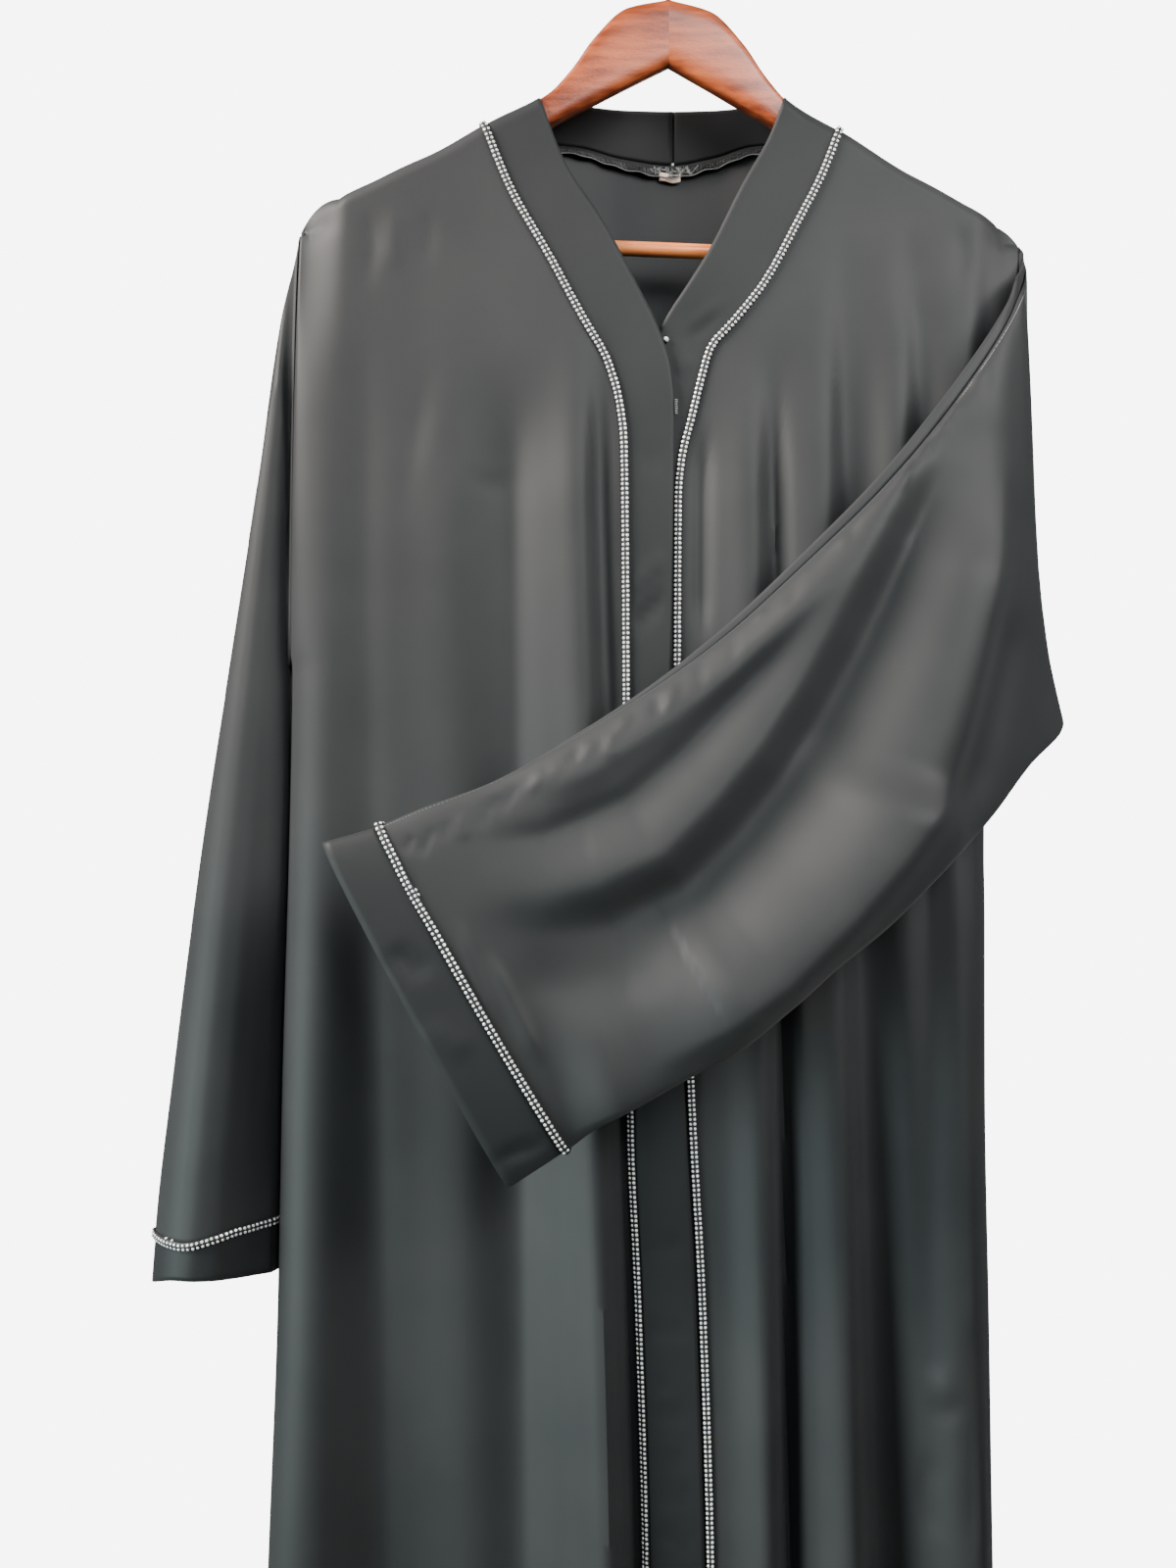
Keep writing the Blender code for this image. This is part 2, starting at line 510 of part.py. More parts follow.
def band_rows(side):
    """Rows of points of a band, each from its seam to its free edge."""
    ends = band_ends(side)
    shares = body_shares(side)
    behind = len(ends) - len(shares)
    rows = [[seam.lerp(free, column) for column in BAND_COLUMNS] for seam, free in ends[:behind]]
    crest = [ends[behind][0].lerp(ends[behind][1], column) for column in BAND_COLUMNS]
    for share, (seam, free) in zip(shares, ends[behind:]):
        row = []
        for column, top in zip(BAND_COLUMNS, crest):
            point = seam.lerp(free, column)
            z = point.z + (shoulder_z(top.x) - top.z) * (1.0 - share) ** CREST_FADE
            row.append(front_point(side, point.x, max(min(z, shoulder_z(point.x)), HEM_Z)))
        rows.append(row)
    return rows


def back_top():
    """The upper edge of the back: shoulder, neck and shoulder."""
    points = []
    for column in SHOULDER_COLUMNS:
        x = mix(ARMHOLES["right"].top_x + SEAM_GAP, RIGHT_BAND_ROWS[0].x, column)
        points.append(Vector((x, 0.0, shoulder_z(x))))
    for seam, free in neck_line():
        points.append(seam - (free - seam).normalized() * NECK_GAP / 2)
    for column in SHOULDER_COLUMNS[::-1]:
        x = mix(ARMHOLES["left"].top_x - SEAM_GAP, LEFT_BAND_ROWS[0].x, column)
        points.append(Vector((x, 0.0, shoulder_z(x))))
    return points


def back_rows():
    """Rows of points of the back, from the right side edge to the left."""
    top = back_top()
    shares = sorted(set(body_shares("right")) | {body_shares("left")[-len(LOWER_SHARES) - 1]})
    rows = []
    for share in shares:
        row = []
        for index, start in enumerate(top):
            z = mix(start.z, HEM_Z, share)
            across = (start.x - top[0].x) / (top[-1].x - top[0].x)
            right_z = mix(top[0].z, HEM_Z, share)
            left_z = mix(top[-1].z, HEM_Z, share)
            right = body_edge("right", right_z) + (SEAM_GAP if right_z > ARMHOLES["right"].low_z else 0)
            left = body_edge("left", left_z) - (SEAM_GAP if left_z > ARMHOLES["left"].low_z else 0)
            x = mix(right, left, across)
            row.append(start if share == 0.0 and start.y > 0.0 else back_point(x, z))
        rows.append(row)
    return rows


# ---------------------------------------------------------------- sleeves
def sleeve_fold_depth(share, around):
    """Sum of the large folds at one place on the drawn sleeve."""
    total = 0.0
    here = Vector((share * SLEEVE_FOLD_LENGTH, (1 - math.cos(math.pi * around)) / 2 * SLEEVE_FOLD_HEIGHT))
    for fold in LEFT_SLEEVE_FOLDS:
        start = Vector((fold.share * SLEEVE_FOLD_LENGTH,
                        (1 - math.cos(math.pi * fold.round)) / 2 * SLEEVE_FOLD_HEIGHT))
        end = Vector((fold.to_share * SLEEVE_FOLD_LENGTH,
                      (1 - math.cos(math.pi * fold.to_round)) / 2 * SLEEVE_FOLD_HEIGHT))
        line = end - start
        along = min(max((here - start).dot(line) / line.length_squared, 0.0), 1.0)
        away = (here - start - line * along).length
        total += fold.depth * math.exp(-(away / fold.half_width) ** 2)
    return total


def sleeve_point(side, half, share, around):
    """A point of a sleeve: share of its length, and 0 to 1 from the upper to the lower seam."""
    row = read_table(RIGHT_SLEEVE_ROWS if side == "right" else LEFT_SLEEVE_ROWS, share)
    top = Vector((row.top_x, row.top_y, row.top_z))
    low = Vector((row.low_x, row.low_y, row.low_z))
    turn = math.radians(row.turn)
    way = Vector((math.cos(turn), math.sin(turn), 0.0))
    down = (1.0 - math.cos(math.pi * around)) / 2
    point = top.lerp(low, down)
    point.x = mix(top.x, low.x, down ** row.bend)
    stand = math.sin(math.pi * around) ** SECTION_POWER
    if half == "front":
        peak = around / ROLL_PEAK
        point += (top - low).normalized() * row.roll * peak * math.exp(1.0 - peak)
        point -= way * (LIP + row.front * stand)
        if side == "right" and point.z < ARMHOLES[side].low_z:
            inward = SIDE_CLEAR_SLOPE * max(point.y - SIDE_CLEAR_DEPTH, 0.0)
            point.x = min(point.x, body_edge(side, point.z) - SIDE_CLEAR + inward)
        return point
    depth = LIP + row.back * stand
    if side == "left":
        depth += sleeve_fold_depth(share, around) * ease(min(around, 1.0 - around) / 0.12)
    return point + way * depth


def sleeve_rows(side, half, shares):
    return [[sleeve_point(side, half, share, around) for around in SECTION_COLUMNS] for share in shares]


# ---------------------------------------------------------------- making objects
def make_material(name):
    colour, roughness, metallic = COLOURS[name]
    material = bpy.data.materials.new(name)
    material.use_nodes = True
    shader = material.node_tree.nodes["Principled BSDF"]
    shader.inputs["Base Color"].default_value = (*colour, 1.0)
    shader.inputs["Roughness"].default_value = roughness
    shader.inputs["Metallic"].default_value = metallic
    material.diffuse_color = (*colour, 1.0)
    return material


def add_mesh(name, bm, material, collection):
    mesh = bpy.data.meshes.new(name)
    bm.to_mesh(mesh)
    bm.free()
    mesh.materials.append(material)
    mesh.shade_smooth()
    mesh.set_sharp_from_angle(angle=math.radians(50))
    item = bpy.data.objects.new(name, mesh)
    collection.objects.link(item)
    return item


def grid_mesh(points):
    """A grid whose vertices are moved to rows of points."""
    rows, columns = len(points), len(points[0])
    bm = bmesh.new()
    bmesh.ops.create_grid(bm, x_segments=columns - 1, y_segments=rows - 1, size=1.0)
    for vertex in bm.verts:
        column = round((vertex.co.x + 1.0) / 2.0 * (columns - 1))
        row = round((vertex.co.y + 1.0) / 2.0 * (rows - 1))
        vertex.co = points[row][column]
    return bm


def add_cloth(name, points, material, collection, thickness=CLOTH, lift=0.0):
    """A wall of cloth round rows of points, first moved along its own normals by lift."""
    bm = grid_mesh(points)
    if lift:
        bm.normal_update()
        moved = [vertex.co + vertex.normal * lift for vertex in bm.verts]
        for vertex, place in zip(bm.verts, moved):
            vertex.co = place
    item = add_mesh(name, bm, material, collection)
    wall = item.modifiers.new("wall", "SOLIDIFY")
    wall.thickness = thickness
    wall.offset = 0.0
    return item


def tape_rows(panel, band):
    """Rows TAPE_HALF to each side of a seam, between a panel's last points and a band's first."""
    rows = []
    for panel_row, band_points in zip(panel, band):
        seam = (panel_row[-1] + band_points[0]) / 2
        toward_panel = (panel_row[-2] - seam).normalized()
        toward_band = (band_points[1] - seam).normalized()
        rows.append([seam + toward_panel * TAPE_HALF, seam, seam + toward_band * TAPE_HALF])
    return rows


def front_tape_rows(side):
    """Tape over the band seam from the centre back to the hem."""
    band = band_rows(side)
    behind = len(band) - len(body_shares(side))
    back = back_rows()
    first, last = len(SHOULDER_COLUMNS), len(back[0]) - len(SHOULDER_COLUMNS)
    middle = len(back[0]) // 2
    numbers = range(middle, first - 1, -1) if side == "right" else range(middle, last)
    shoulder = first - 1 if side == "right" else last
    under = []
    for number in numbers:
        step = abs(number - shoulder)
        below = back[2][number]
        if step < len(ROLL_STEPS) - 1:
            below = back[step][shoulder]
        elif step == len(ROLL_STEPS) - 1:
            below = (below + back[step][shoulder]) / 2
        under.append([below, back[0][number]])
    return tape_rows(under, band[:behind]) + tape_rows(front_rows(side), band[behind:])


def cuff_tape_rows(side, half):
    """Tape over the cuff seam on one half of a sleeve."""
    shares = (1.0 - CUFF_TAPE_SHARE, 1.0, 1.0 + CUFF_TAPE_SHARE)
    return [[sleeve_point(side, half, share, around) for share in shares]
            for around in SECTION_COLUMNS[2:-2]]


def ring_mesh(rings):
    """Loft closed rings of points and close both ends."""
    bm = bmesh.new()
    loops = [[bm.verts.new(point) for point in ring] for ring in rings]
    count = len(rings[0])
    for before, after in zip(loops, loops[1:]):
        for i in range(count):
            j = (i + 1) % count
            bm.faces.new((before[i], before[j], after[j], after[i]))
    bm.faces.new(loops[0][::-1])
    bm.faces.new(loops[-1])
    bmesh.ops.recalc_face_normals(bm, faces=bm.faces)
    return bm


def add_arm(side, material, collection):
    """One half of the hanger, from the centre joint to its rounded end."""
    way = -1.0 if side == "right" else 1.0
    rings = []
    for out in (SEAM_GAP / 2, *ARM_OUTS):
        row = read_table(ARM_ROWS, out)
        x = way * out
        middle = (row.top + row.low) / 2 - ARM_LEAN * x
        half = (row.top - row.low) / 2
        end = max(out - ARM_END, 0.0) / (ARM_OUTS[-1] - ARM_END)
        thick = ARM_HALF_THICK * (1.0 - ARM_END_THIN * end * end)
        ring = []
        for step in range(12):
            turn = math.tau * step / 12
            cosine, sine = math.cos(turn), math.sin(turn)
            ring.append(Vector((x, thick * math.copysign(abs(cosine) ** ARM_SECTION, cosine),
                                middle + half * math.copysign(abs(sine) ** ARM_SECTION, sine))))
        rings.append(ring)
    return add_mesh(f"hanger_arm_{side}", ring_mesh(rings), material, collection)


def add_rod(name, points, radius, material, collection, resolution=2):
    """A round rod through points, with filled ends."""
    curve = bpy.data.curves.new(name, "CURVE")
    curve.dimensions = "3D"
    spline = curve.splines.new("POLY")
    spline.points.add(len(points) - 1)
    for spot, point in zip(spline.points, points):
        spot.co = (*point, 1.0)
    curve.bevel_depth = radius
    curve.bevel_resolution = resolution
    curve.use_fill_caps = True
    curve.materials.append(material)
    item = bpy.data.objects.new(name, curve)
    collection.objects.link(item)
    return item


def add_cutter(name, start, end, radius, collection):
    """A closed cylinder between two points, kept out of the model."""
    bm = bmesh.new()
    line = end - start
    bmesh.ops.create_cone(bm, cap_ends=True, segments=16, radius1=radius, radius2=radius, depth=line.length)
    turn = Vector((0.0, 0.0, 1.0)).rotation_difference(line.normalized())
    bmesh.ops.rotate(bm, verts=bm.verts, matrix=turn.to_matrix())
    bmesh.ops.translate(bm, verts=bm.verts, vec=(start + end) / 2)
    mesh = bpy.data.meshes.new(name)
    bm.to_mesh(mesh)
    bm.free()
    item = bpy.data.objects.new(name, mesh)
    item.hide_render = True
    item.display_type = "WIRE"
    collection.objects.link(item)
    return item


def cut(item, cutter):
    hole = item.modifiers.new(cutter.name, "BOOLEAN")
    hole.operation = "DIFFERENCE"
    hole.object = cutter


def bar_end(way, reach):
    x = way * reach
    return Vector((x, 0.0, BAR_Z - ARM_LEAN * x))


def hook_points():
    """Centre line of the hook: up the shank, round the bend and down to the tip."""
    middle = Vector((0.0, 0.0, WIRE_RADIUS - HOOK_BEND))
    points = [Vector((0.0, 0.0, ARM_ROWS[0].top - SHANK_DEPTH)), Vector((0.0, 0.0, -0.060)),
              Vector((0.0012, 0.0, -0.0520)), Vector((0.0048, 0.0, -0.0450)), Vector((0.0098, 0.0, -0.0390))]
    for step in range(14):
        turn = math.radians(-45.0 + step * 17.5)
        points.append(middle + Vector((math.cos(turn), 0.0, math.sin(turn))) * HOOK_BEND)
    return points


def add_hanger(materials, parts, cutters):
    arms = {side: add_arm(side, materials["hanger_wood"], parts) for side in ("right", "left")}
    for side, way in (("right", -1.0), ("left", 1.0)):
        hole = add_cutter(f"bar_hole_{side}", bar_end(way, BAR_HALF - BAR_HOLE_DEPTH - 0.004),
                          bar_end(way, BAR_HALF + FIT_GAP), BAR_RADIUS + FIT_GAP, cutters)
        cut(arms[side], hole)
    shank = add_cutter("shank_hole", Vector((0.0, 0.0, ARM_ROWS[0].top - SHANK_DEPTH - FIT_GAP)),
                       Vector((0.0, 0.0, ARM_ROWS[0].top + 0.004)), WIRE_RADIUS + FIT_GAP, cutters)
    for arm in arms.values():
        cut(arm, shank)
    add_rod("trouser_bar", [bar_end(-1.0, BAR_HALF), bar_end(1.0, BAR_HALF)], BAR_RADIUS,
            materials["bar_wood"], parts, 3)
    add_rod("hanger_hook", hook_points(), WIRE_RADIUS, materials["hook_wire"], parts)


def add_body(materials, parts):
    crepe, band = materials["black_crepe"], materials["band_crepe"]
    add_cloth("back", back_rows(), crepe, parts)
    for side in ("right", "left"):
        add_cloth(f"front_{side}", front_rows(side), crepe, parts)
        add_cloth(f"band_{side}", band_rows(side), band, parts)
        lift = -TAPE_LIFT if side == "right" else TAPE_LIFT
        add_cloth(f"trim_front_{side}", front_tape_rows(side), materials["stone_tape"], parts,
                  TAPE_THICK, lift)


def add_neck_details(materials, parts):
    """The overlocked seam edge and the label inside the back neck, and the pearl snap."""
    back = back_rows()
    first = len(SHOULDER_COLUMNS) + len(ROLL_STEPS)
    last = len(back[0]) - first
    inner = -CLOTH / 2 - SEAM_GAP - EDGE_THREAD_THICK / 2
    add_cloth("neck_seam_edge", [row[first:last] for row in back[1:5]], materials["overlock_thread"],
              parts, EDGE_THREAD_THICK, inner)
    middle = len(back[0]) // 2
    label = []
    for number in LABEL_ROWS:
        row = back[number]
        label.append([row[middle].lerp(row[middle + way], share) for way, share in LABEL_COLUMNS])
    inner -= EDGE_THREAD_THICK / 2 + SEAM_GAP + LABEL_THICK / 2
    add_cloth("neck_label", label, materials["label_satin"], parts, LABEL_THICK, inner)
    x, z = SNAP
    place = front_point("left", x, z) - Vector((0.0, CLOTH / 2 + 2 * SEAM_GAP + SNAP_RADIUS, 0.0))
    bm = bmesh.new()
    bmesh.ops.create_uvsphere(bm, u_segments=10, v_segments=6, radius=SNAP_RADIUS)
    bmesh.ops.translate(bm, verts=bm.verts, vec=place)
    add_mesh("neck_snap", bm, materials["pearl_snap"], parts)


def add_sleeves(materials, parts):
    shares = {"right": RIGHT_SLEEVE_SHARES, "left": LEFT_SLEEVE_SHARES}
    ends = {"right": RIGHT_SLEEVE_ROWS[-1].share, "left": LEFT_SLEEVE_ROWS[-1].share}
    lengths = {"right": 0.70, "left": 0.46}
    for side in ("right", "left"):
        gap = SEAM_GAP / lengths[side]
        for half in ("front", "back"):
            body = sleeve_rows(side, half, (*shares[side][:-1], 1.0 - gap / 2))
            outward = ARMHOLE_GAP * (-1.0 if side == "right" else 1.0)
            body[0] = [point + Vector((outward, 0.0, 0.0)) for point in body[0]]
            add_cloth(f"sleeve_{side}_{half}", body, materials["black_crepe"], parts)
            cuff = sleeve_rows(side, half, (1.0 + gap / 2, (1.0 + ends[side]) / 2, ends[side]))
            add_cloth(f"cuff_{side}_{half}", cuff, materials["band_crepe"], parts)
            lift = TAPE_LIFT if (side == "left") == (half == "back") else -TAPE_LIFT
            add_cloth(f"trim_cuff_{side}_{half}", cuff_tape_rows(side, half), materials["stone_tape"],
                      parts, TAPE_THICK, lift)


def main():
    for item in list(bpy.data.objects):
        bpy.data.objects.remove(item, do_unlink=True)
    parts = bpy.data.collections.new("abaya_on_hanger")
    cutters = bpy.data.collections.new("cutters")
    bpy.context.scene.collection.children.link(parts)
    bpy.context.scene.collection.children.link(cutters)
    materials = {name: make_material(name) for name in COLOURS}
    add_body(materials, parts)
    add_neck_details(materials, parts)
    add_sleeves(materials, parts)
    add_hanger(materials, parts, cutters)


main()
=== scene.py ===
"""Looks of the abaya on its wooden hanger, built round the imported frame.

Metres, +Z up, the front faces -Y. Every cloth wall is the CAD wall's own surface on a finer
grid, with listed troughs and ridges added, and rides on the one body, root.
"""
import json
import math
import random
from collections import namedtuple

import bmesh
import bpy
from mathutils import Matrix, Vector

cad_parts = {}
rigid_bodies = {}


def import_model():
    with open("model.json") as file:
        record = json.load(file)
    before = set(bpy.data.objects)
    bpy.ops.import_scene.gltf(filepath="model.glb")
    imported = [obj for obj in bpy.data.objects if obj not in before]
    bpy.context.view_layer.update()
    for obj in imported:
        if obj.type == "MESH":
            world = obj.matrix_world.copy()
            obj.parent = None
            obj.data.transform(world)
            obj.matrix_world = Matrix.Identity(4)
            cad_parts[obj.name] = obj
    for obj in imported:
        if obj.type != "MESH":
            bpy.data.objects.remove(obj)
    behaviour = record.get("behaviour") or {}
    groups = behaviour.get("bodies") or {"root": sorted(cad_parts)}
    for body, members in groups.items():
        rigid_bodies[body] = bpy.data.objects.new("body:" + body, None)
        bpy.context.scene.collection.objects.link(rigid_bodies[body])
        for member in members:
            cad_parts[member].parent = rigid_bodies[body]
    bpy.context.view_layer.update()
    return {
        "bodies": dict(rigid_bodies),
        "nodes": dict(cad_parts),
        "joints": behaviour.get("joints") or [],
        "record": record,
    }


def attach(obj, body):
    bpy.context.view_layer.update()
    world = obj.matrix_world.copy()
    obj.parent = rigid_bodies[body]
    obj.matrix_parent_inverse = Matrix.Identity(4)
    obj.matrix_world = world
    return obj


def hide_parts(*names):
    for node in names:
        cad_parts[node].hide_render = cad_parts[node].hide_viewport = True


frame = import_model()

# ---------------------------------------------------------------- driving dimensions
CLOTH = 0.0013             # wall of every cloth piece
SEAM_GAP = 0.0003          # air between two sewn pieces
ARMHOLE_GAP = 0.0006       # the sleeve's first ring stands this far out from the armhole
LIP = CLOTH / 2 + SEAM_GAP / 2   # centre of a wall whose seam is pressed flat on its neighbour
SHOULDER_SEAM = 0.0004     # half the distance between front and back on the hanger
HEM_Z = -1.550
SECTION_POWER = 0.8        # fullness of a sleeve's section, 1 is an ellipse

ARM_HALF_THICK = 0.0070    # wooden hanger, half its thickness
ARM_LEAN = 0.040           # drop of the hanger for each metre towards +X
CLOTH_OVER_ARM = 0.0014    # centre of the cloth above the wood
SHOULDER_ROLL = 0.0096     # radius of the cloth over the hanger
TIP_DROP = 681.0           # drop of the shoulder past the hanger, per cubed metre

BAR_RADIUS = 0.0048
BAR_HALF = 0.1830
BAR_Z = -0.2312

WIRE_RADIUS = 0.0017
HOOK_BEND = 0.0200         # centre of the wire to the centre of its bend
SHANK_DEPTH = 0.0120       # length of the wire inside the wood

CUFF_TAPE_SHARE = 0.012    # half of the tape as a share of a sleeve's length

# ---------------------------------------------------------------- tables
def table(kind, *rows):
    """Rows of numbers as named rows of one kind."""
    return tuple(kind(*row) for row in rows)


# Hanger arm: distance from the middle, top edge and lower edge.
ArmRow = namedtuple("ArmRow", "out top low")
ARM_ROWS = table(
    ArmRow,
    (0.0, -0.07, -0.1125),
    (0.027, -0.0765, -0.127),
    (0.049, -0.0975, -0.139),
    (0.062, -0.1165, -0.146),
    (0.078, -0.1342, -0.155),
    (0.115, -0.1548, -0.176),
    (0.15, -0.1766, -0.199),
    (0.166, -0.1846, -0.22),
    (0.172, -0.1876, -0.24),
    (0.19, -0.1974, -0.244),
    (0.205, -0.2051, -0.24),
    (0.212, -0.2095, -0.233),
    (0.216, -0.215, -0.226),
)
ARM_OUTS = (0.01, 0.019, 0.027, 0.035, 0.042, 0.049, 0.056, 0.062, 0.07, 0.078, 0.095, 0.115,
            0.138, 0.155, 0.162, 0.167, 0.172, 0.181, 0.194, 0.205, 0.212, 0.216)
ARM_END = 0.202           # the wood thins from here to its end
ARM_END_THIN = 0.55        # by this share

# Side edges of the body below the underarms.
EdgeRow = namedtuple("EdgeRow", "z right left")
EDGE_ROWS = table(
    EdgeRow,
    (-0.5, -0.2435, 0.2145),
    (-0.52, -0.2437, 0.2125),
    (-0.61, -0.2455, 0.204),
    (-0.77, -0.25, 0.2037),
    (-0.92, -0.253, 0.206),
    (-1.08, -0.259, 0.208),
    (-1.55, -0.274, 0.216),
)

# Armholes: upper and lower end of the seam, half its opening from front to back, and how far out
# the shoulder begins to drop away towards it.
Armhole = namedtuple("Armhole", "top_x top_z low_x low_z half_open tip")
ARMHOLES = {
    "right": Armhole(-0.2382, -0.2222, -0.2435, -0.5, 0.011, 0.206),
    "left": Armhole(0.2262, -0.2295, 0.2125, -0.52, 0.011, 0.2),
}

# How far front and back stand out beyond the hanger.
FullRow = namedtuple("FullRow", "z front back")
FULL_ROWS = table(
    FullRow,
    (-0.15, 0.0, 0.0),
    (-0.2, 0.003, 0.003),
    (-0.3, 0.011, 0.012),
    (-0.45, 0.018, 0.02),
    (-0.7, 0.024, 0.028),
    (-1.05, 0.031, 0.036),
    (-1.55, 0.041, 0.046),
)

# Long folds. x at two heights, widths to either side, height (minus is a valley) at the two
# heights, and where the fold begins.
FOLD_UPPER_Z = -0.4
FOLD_LOWER_Z = -1.1
FOLD_HEM_GROWTH = 0.4
Fold = namedtuple("Fold", "x_upper x_lower to_right to_left upper lower start_z")
FRONT_FOLDS = table(
    Fold,
    (-0.195, -0.188, 0.014, 0.012, -0.002, -0.002, -0.24),
    (-0.215, -0.222, 0.012, 0.009, 0.0, 0.002, -0.24),
    (-0.184, -0.18, 0.032, 0.1, 0.0, -0.024, -0.36),
    (-0.135, -0.13, 0.026, 0.016, 0.004, 0.002, -0.24),
    (-0.102, -0.093, 0.02, 0.014, -0.0075, -0.01, -0.31),
    (-0.057, -0.037, 0.021, 0.009, 0.0095, 0.019, -0.26),
    (-0.0445, -0.0225, 0.008, 0.009, -0.0055, -0.009, -0.28),
    (0.0505, 0.0655, 0.018, 0.009, 0.006, 0.015, -0.3),
    (0.0665, 0.0725, 0.008, 0.007, -0.007, -0.018, -0.29),
    (0.098, 0.1125, 0.02, 0.01, 0.007, 0.018, -0.22),
    (0.112, 0.13, 0.01, 0.028, -0.006, -0.014, -0.18),
    (0.145, 0.15, 0.016, 0.009, 0.0065, 0.0, -0.2),
    (0.16, 0.165, 0.008, 0.012, -0.005, 0.0, -0.2),
    (0.17, 0.19, 0.032, 0.01, 0.0, 0.019, -0.36),
    (0.189, 0.194, 0.018, 0.006, 0.005, 0.0, -0.2),
    (0.204, 0.203, 0.006, 0.007, -0.005, -0.004, -0.19),
)
BACK_FOLDS = table(
    Fold,
    (-0.19, -0.2, 0.03, 0.03, 0.004, 0.01, -0.22),
    (-0.135, -0.145, 0.018, 0.022, -0.006, -0.012, -0.24),
    (-0.085, -0.09, 0.02, 0.02, 0.005, 0.01, -0.24),
    (-0.035, -0.03, 0.018, 0.02, -0.006, -0.013, -0.26),
    (0.01, 0.02, 0.02, 0.02, 0.005, 0.011, -0.26),
    (0.055, 0.07, 0.016, 0.02, -0.007, -0.014, -0.24),
    (0.1, 0.115, 0.02, 0.02, 0.004, 0.01, -0.24),
    (0.15, 0.155, 0.02, 0.018, -0.006, -0.011, -0.22),
    (0.185, 0.185, 0.02, 0.02, 0.003, 0.008, -0.22),
)

# Front bands: height and x of the seam, then the band's free edge level with it.
BandRow = namedtuple("BandRow", "z x free_x free_z")
RIGHT_BAND_ROWS = table(
    BandRow,
    (-0.1505, -0.12, -0.084, -0.1318),
    (-0.1943, -0.1025, -0.066, -0.1786),
    (-0.2397, -0.0773, -0.044, -0.2133),
    (-0.2869, -0.0522, -0.0197, -0.26),
    (-0.3088, -0.0397, -0.0072, -0.2869),
    (-0.3345, -0.0322, 0.0005, -0.3127),
    (-0.3605, -0.0292, 0.0026, -0.3376),
    (-0.3915, -0.0286, 0.002, -0.3853),
    (-0.5155, -0.0274, 0.0002, -0.5155),
    (-0.67, -0.0262, 0.0043, -0.67),
    (-0.8, -0.0245, 0.0096, -0.8),
    (-0.9, -0.02, 0.015, -0.9),
    (-1.0735, -0.015, 0.0204, -1.0735),
    (-1.55, -0.012, 0.0248, -1.55),
)
LEFT_BAND_ROWS = table(
    BandRow,
    (-0.1556, 0.11, 0.075, -0.1348),
    (-0.1882, 0.0973, 0.064, -0.163),
    (-0.2164, 0.0828, 0.0464, -0.1944),
    (-0.2572, 0.0608, 0.025, -0.2371),
    (-0.2855, 0.0388, 0.0106, -0.2603),
    (-0.2993, 0.0263, -0.0007, -0.2773),
    (-0.32, 0.02, -0.0095, -0.295),
    (-0.3451, 0.0137, -0.0164, -0.3232),
    (-0.3703, 0.0075, -0.0208, -0.3514),
    (-0.3954, 0.005, -0.024, -0.389),
    (-0.5147, 0.0044, -0.0245, -0.5147),
    (-0.67, 0.0085, -0.022, -0.67),
    (-0.8, 0.0138, -0.0195, -0.8),
    (-0.9, 0.0192, -0.0155, -0.9),
    (-1.0735, 0.0246, -0.01, -1.0735),
    (-1.55, 0.029, -0.007, -1.55),
)
BAND_UNDER = 0.004        # the left front lies this far behind the right band
BAND_UNDER_START = -0.24
BAND_UNDER_RUN = 0.06
BAND_UNDER_WIDTH = 0.05

# Back neck: the band's seam with the back, then its free upper edge.
NeckRow = namedtuple("NeckRow", "x depth z free_x free_depth free_z")
NECK_ROWS = table(
    NeckRow,
    (-0.103, 0.016, -0.1545, -0.0775, 0.014, -0.1285),
    (-0.085, 0.0245, -0.1515, -0.0655, 0.0205, -0.1268),
    (-0.06, 0.033, -0.151, -0.049, 0.028, -0.1262),
    (-0.03, 0.0385, -0.1565, -0.0255, 0.0335, -0.126),
    (0.004, 0.04, -0.1605, 0.004, 0.035, -0.126),
    (0.033, 0.0385, -0.156, 0.029, 0.0335, -0.1262),
    (0.058, 0.033, -0.1505, 0.05, 0.028, -0.1268),
    (0.079, 0.0245, -0.152, 0.061, 0.0205, -0.128),
    (0.095, 0.016, -0.157, 0.069, 0.014, -0.1305),
)
NECK_PUSH_RUN = 0.1      # the collar's spring dies away in this length of the back
NECK_PUSH_SIDE = 0.016     # and in this distance outside the neck
NECK_GAP = 0.001          # air in the neck seam, whose two walls lean apart
CREST_FADE = 8             # how soon a row stops following the shape of the hanger
ROLL_INSET = 0.005        # the neck seam moves in this far while it crosses the hanger

SNAP = (-0.0025, -0.2943)  # pearl snap on the left band: x and z
SNAP_PROFILE = ((0.0008, -0.0004), (0.0017, 0.0), (0.0018, 0.0006), (0.0017, 0.0011),
                (0.0014, 0.0016), (0.0010, 0.0021), (0.0005, 0.0024), (0.0002, 0.0025))

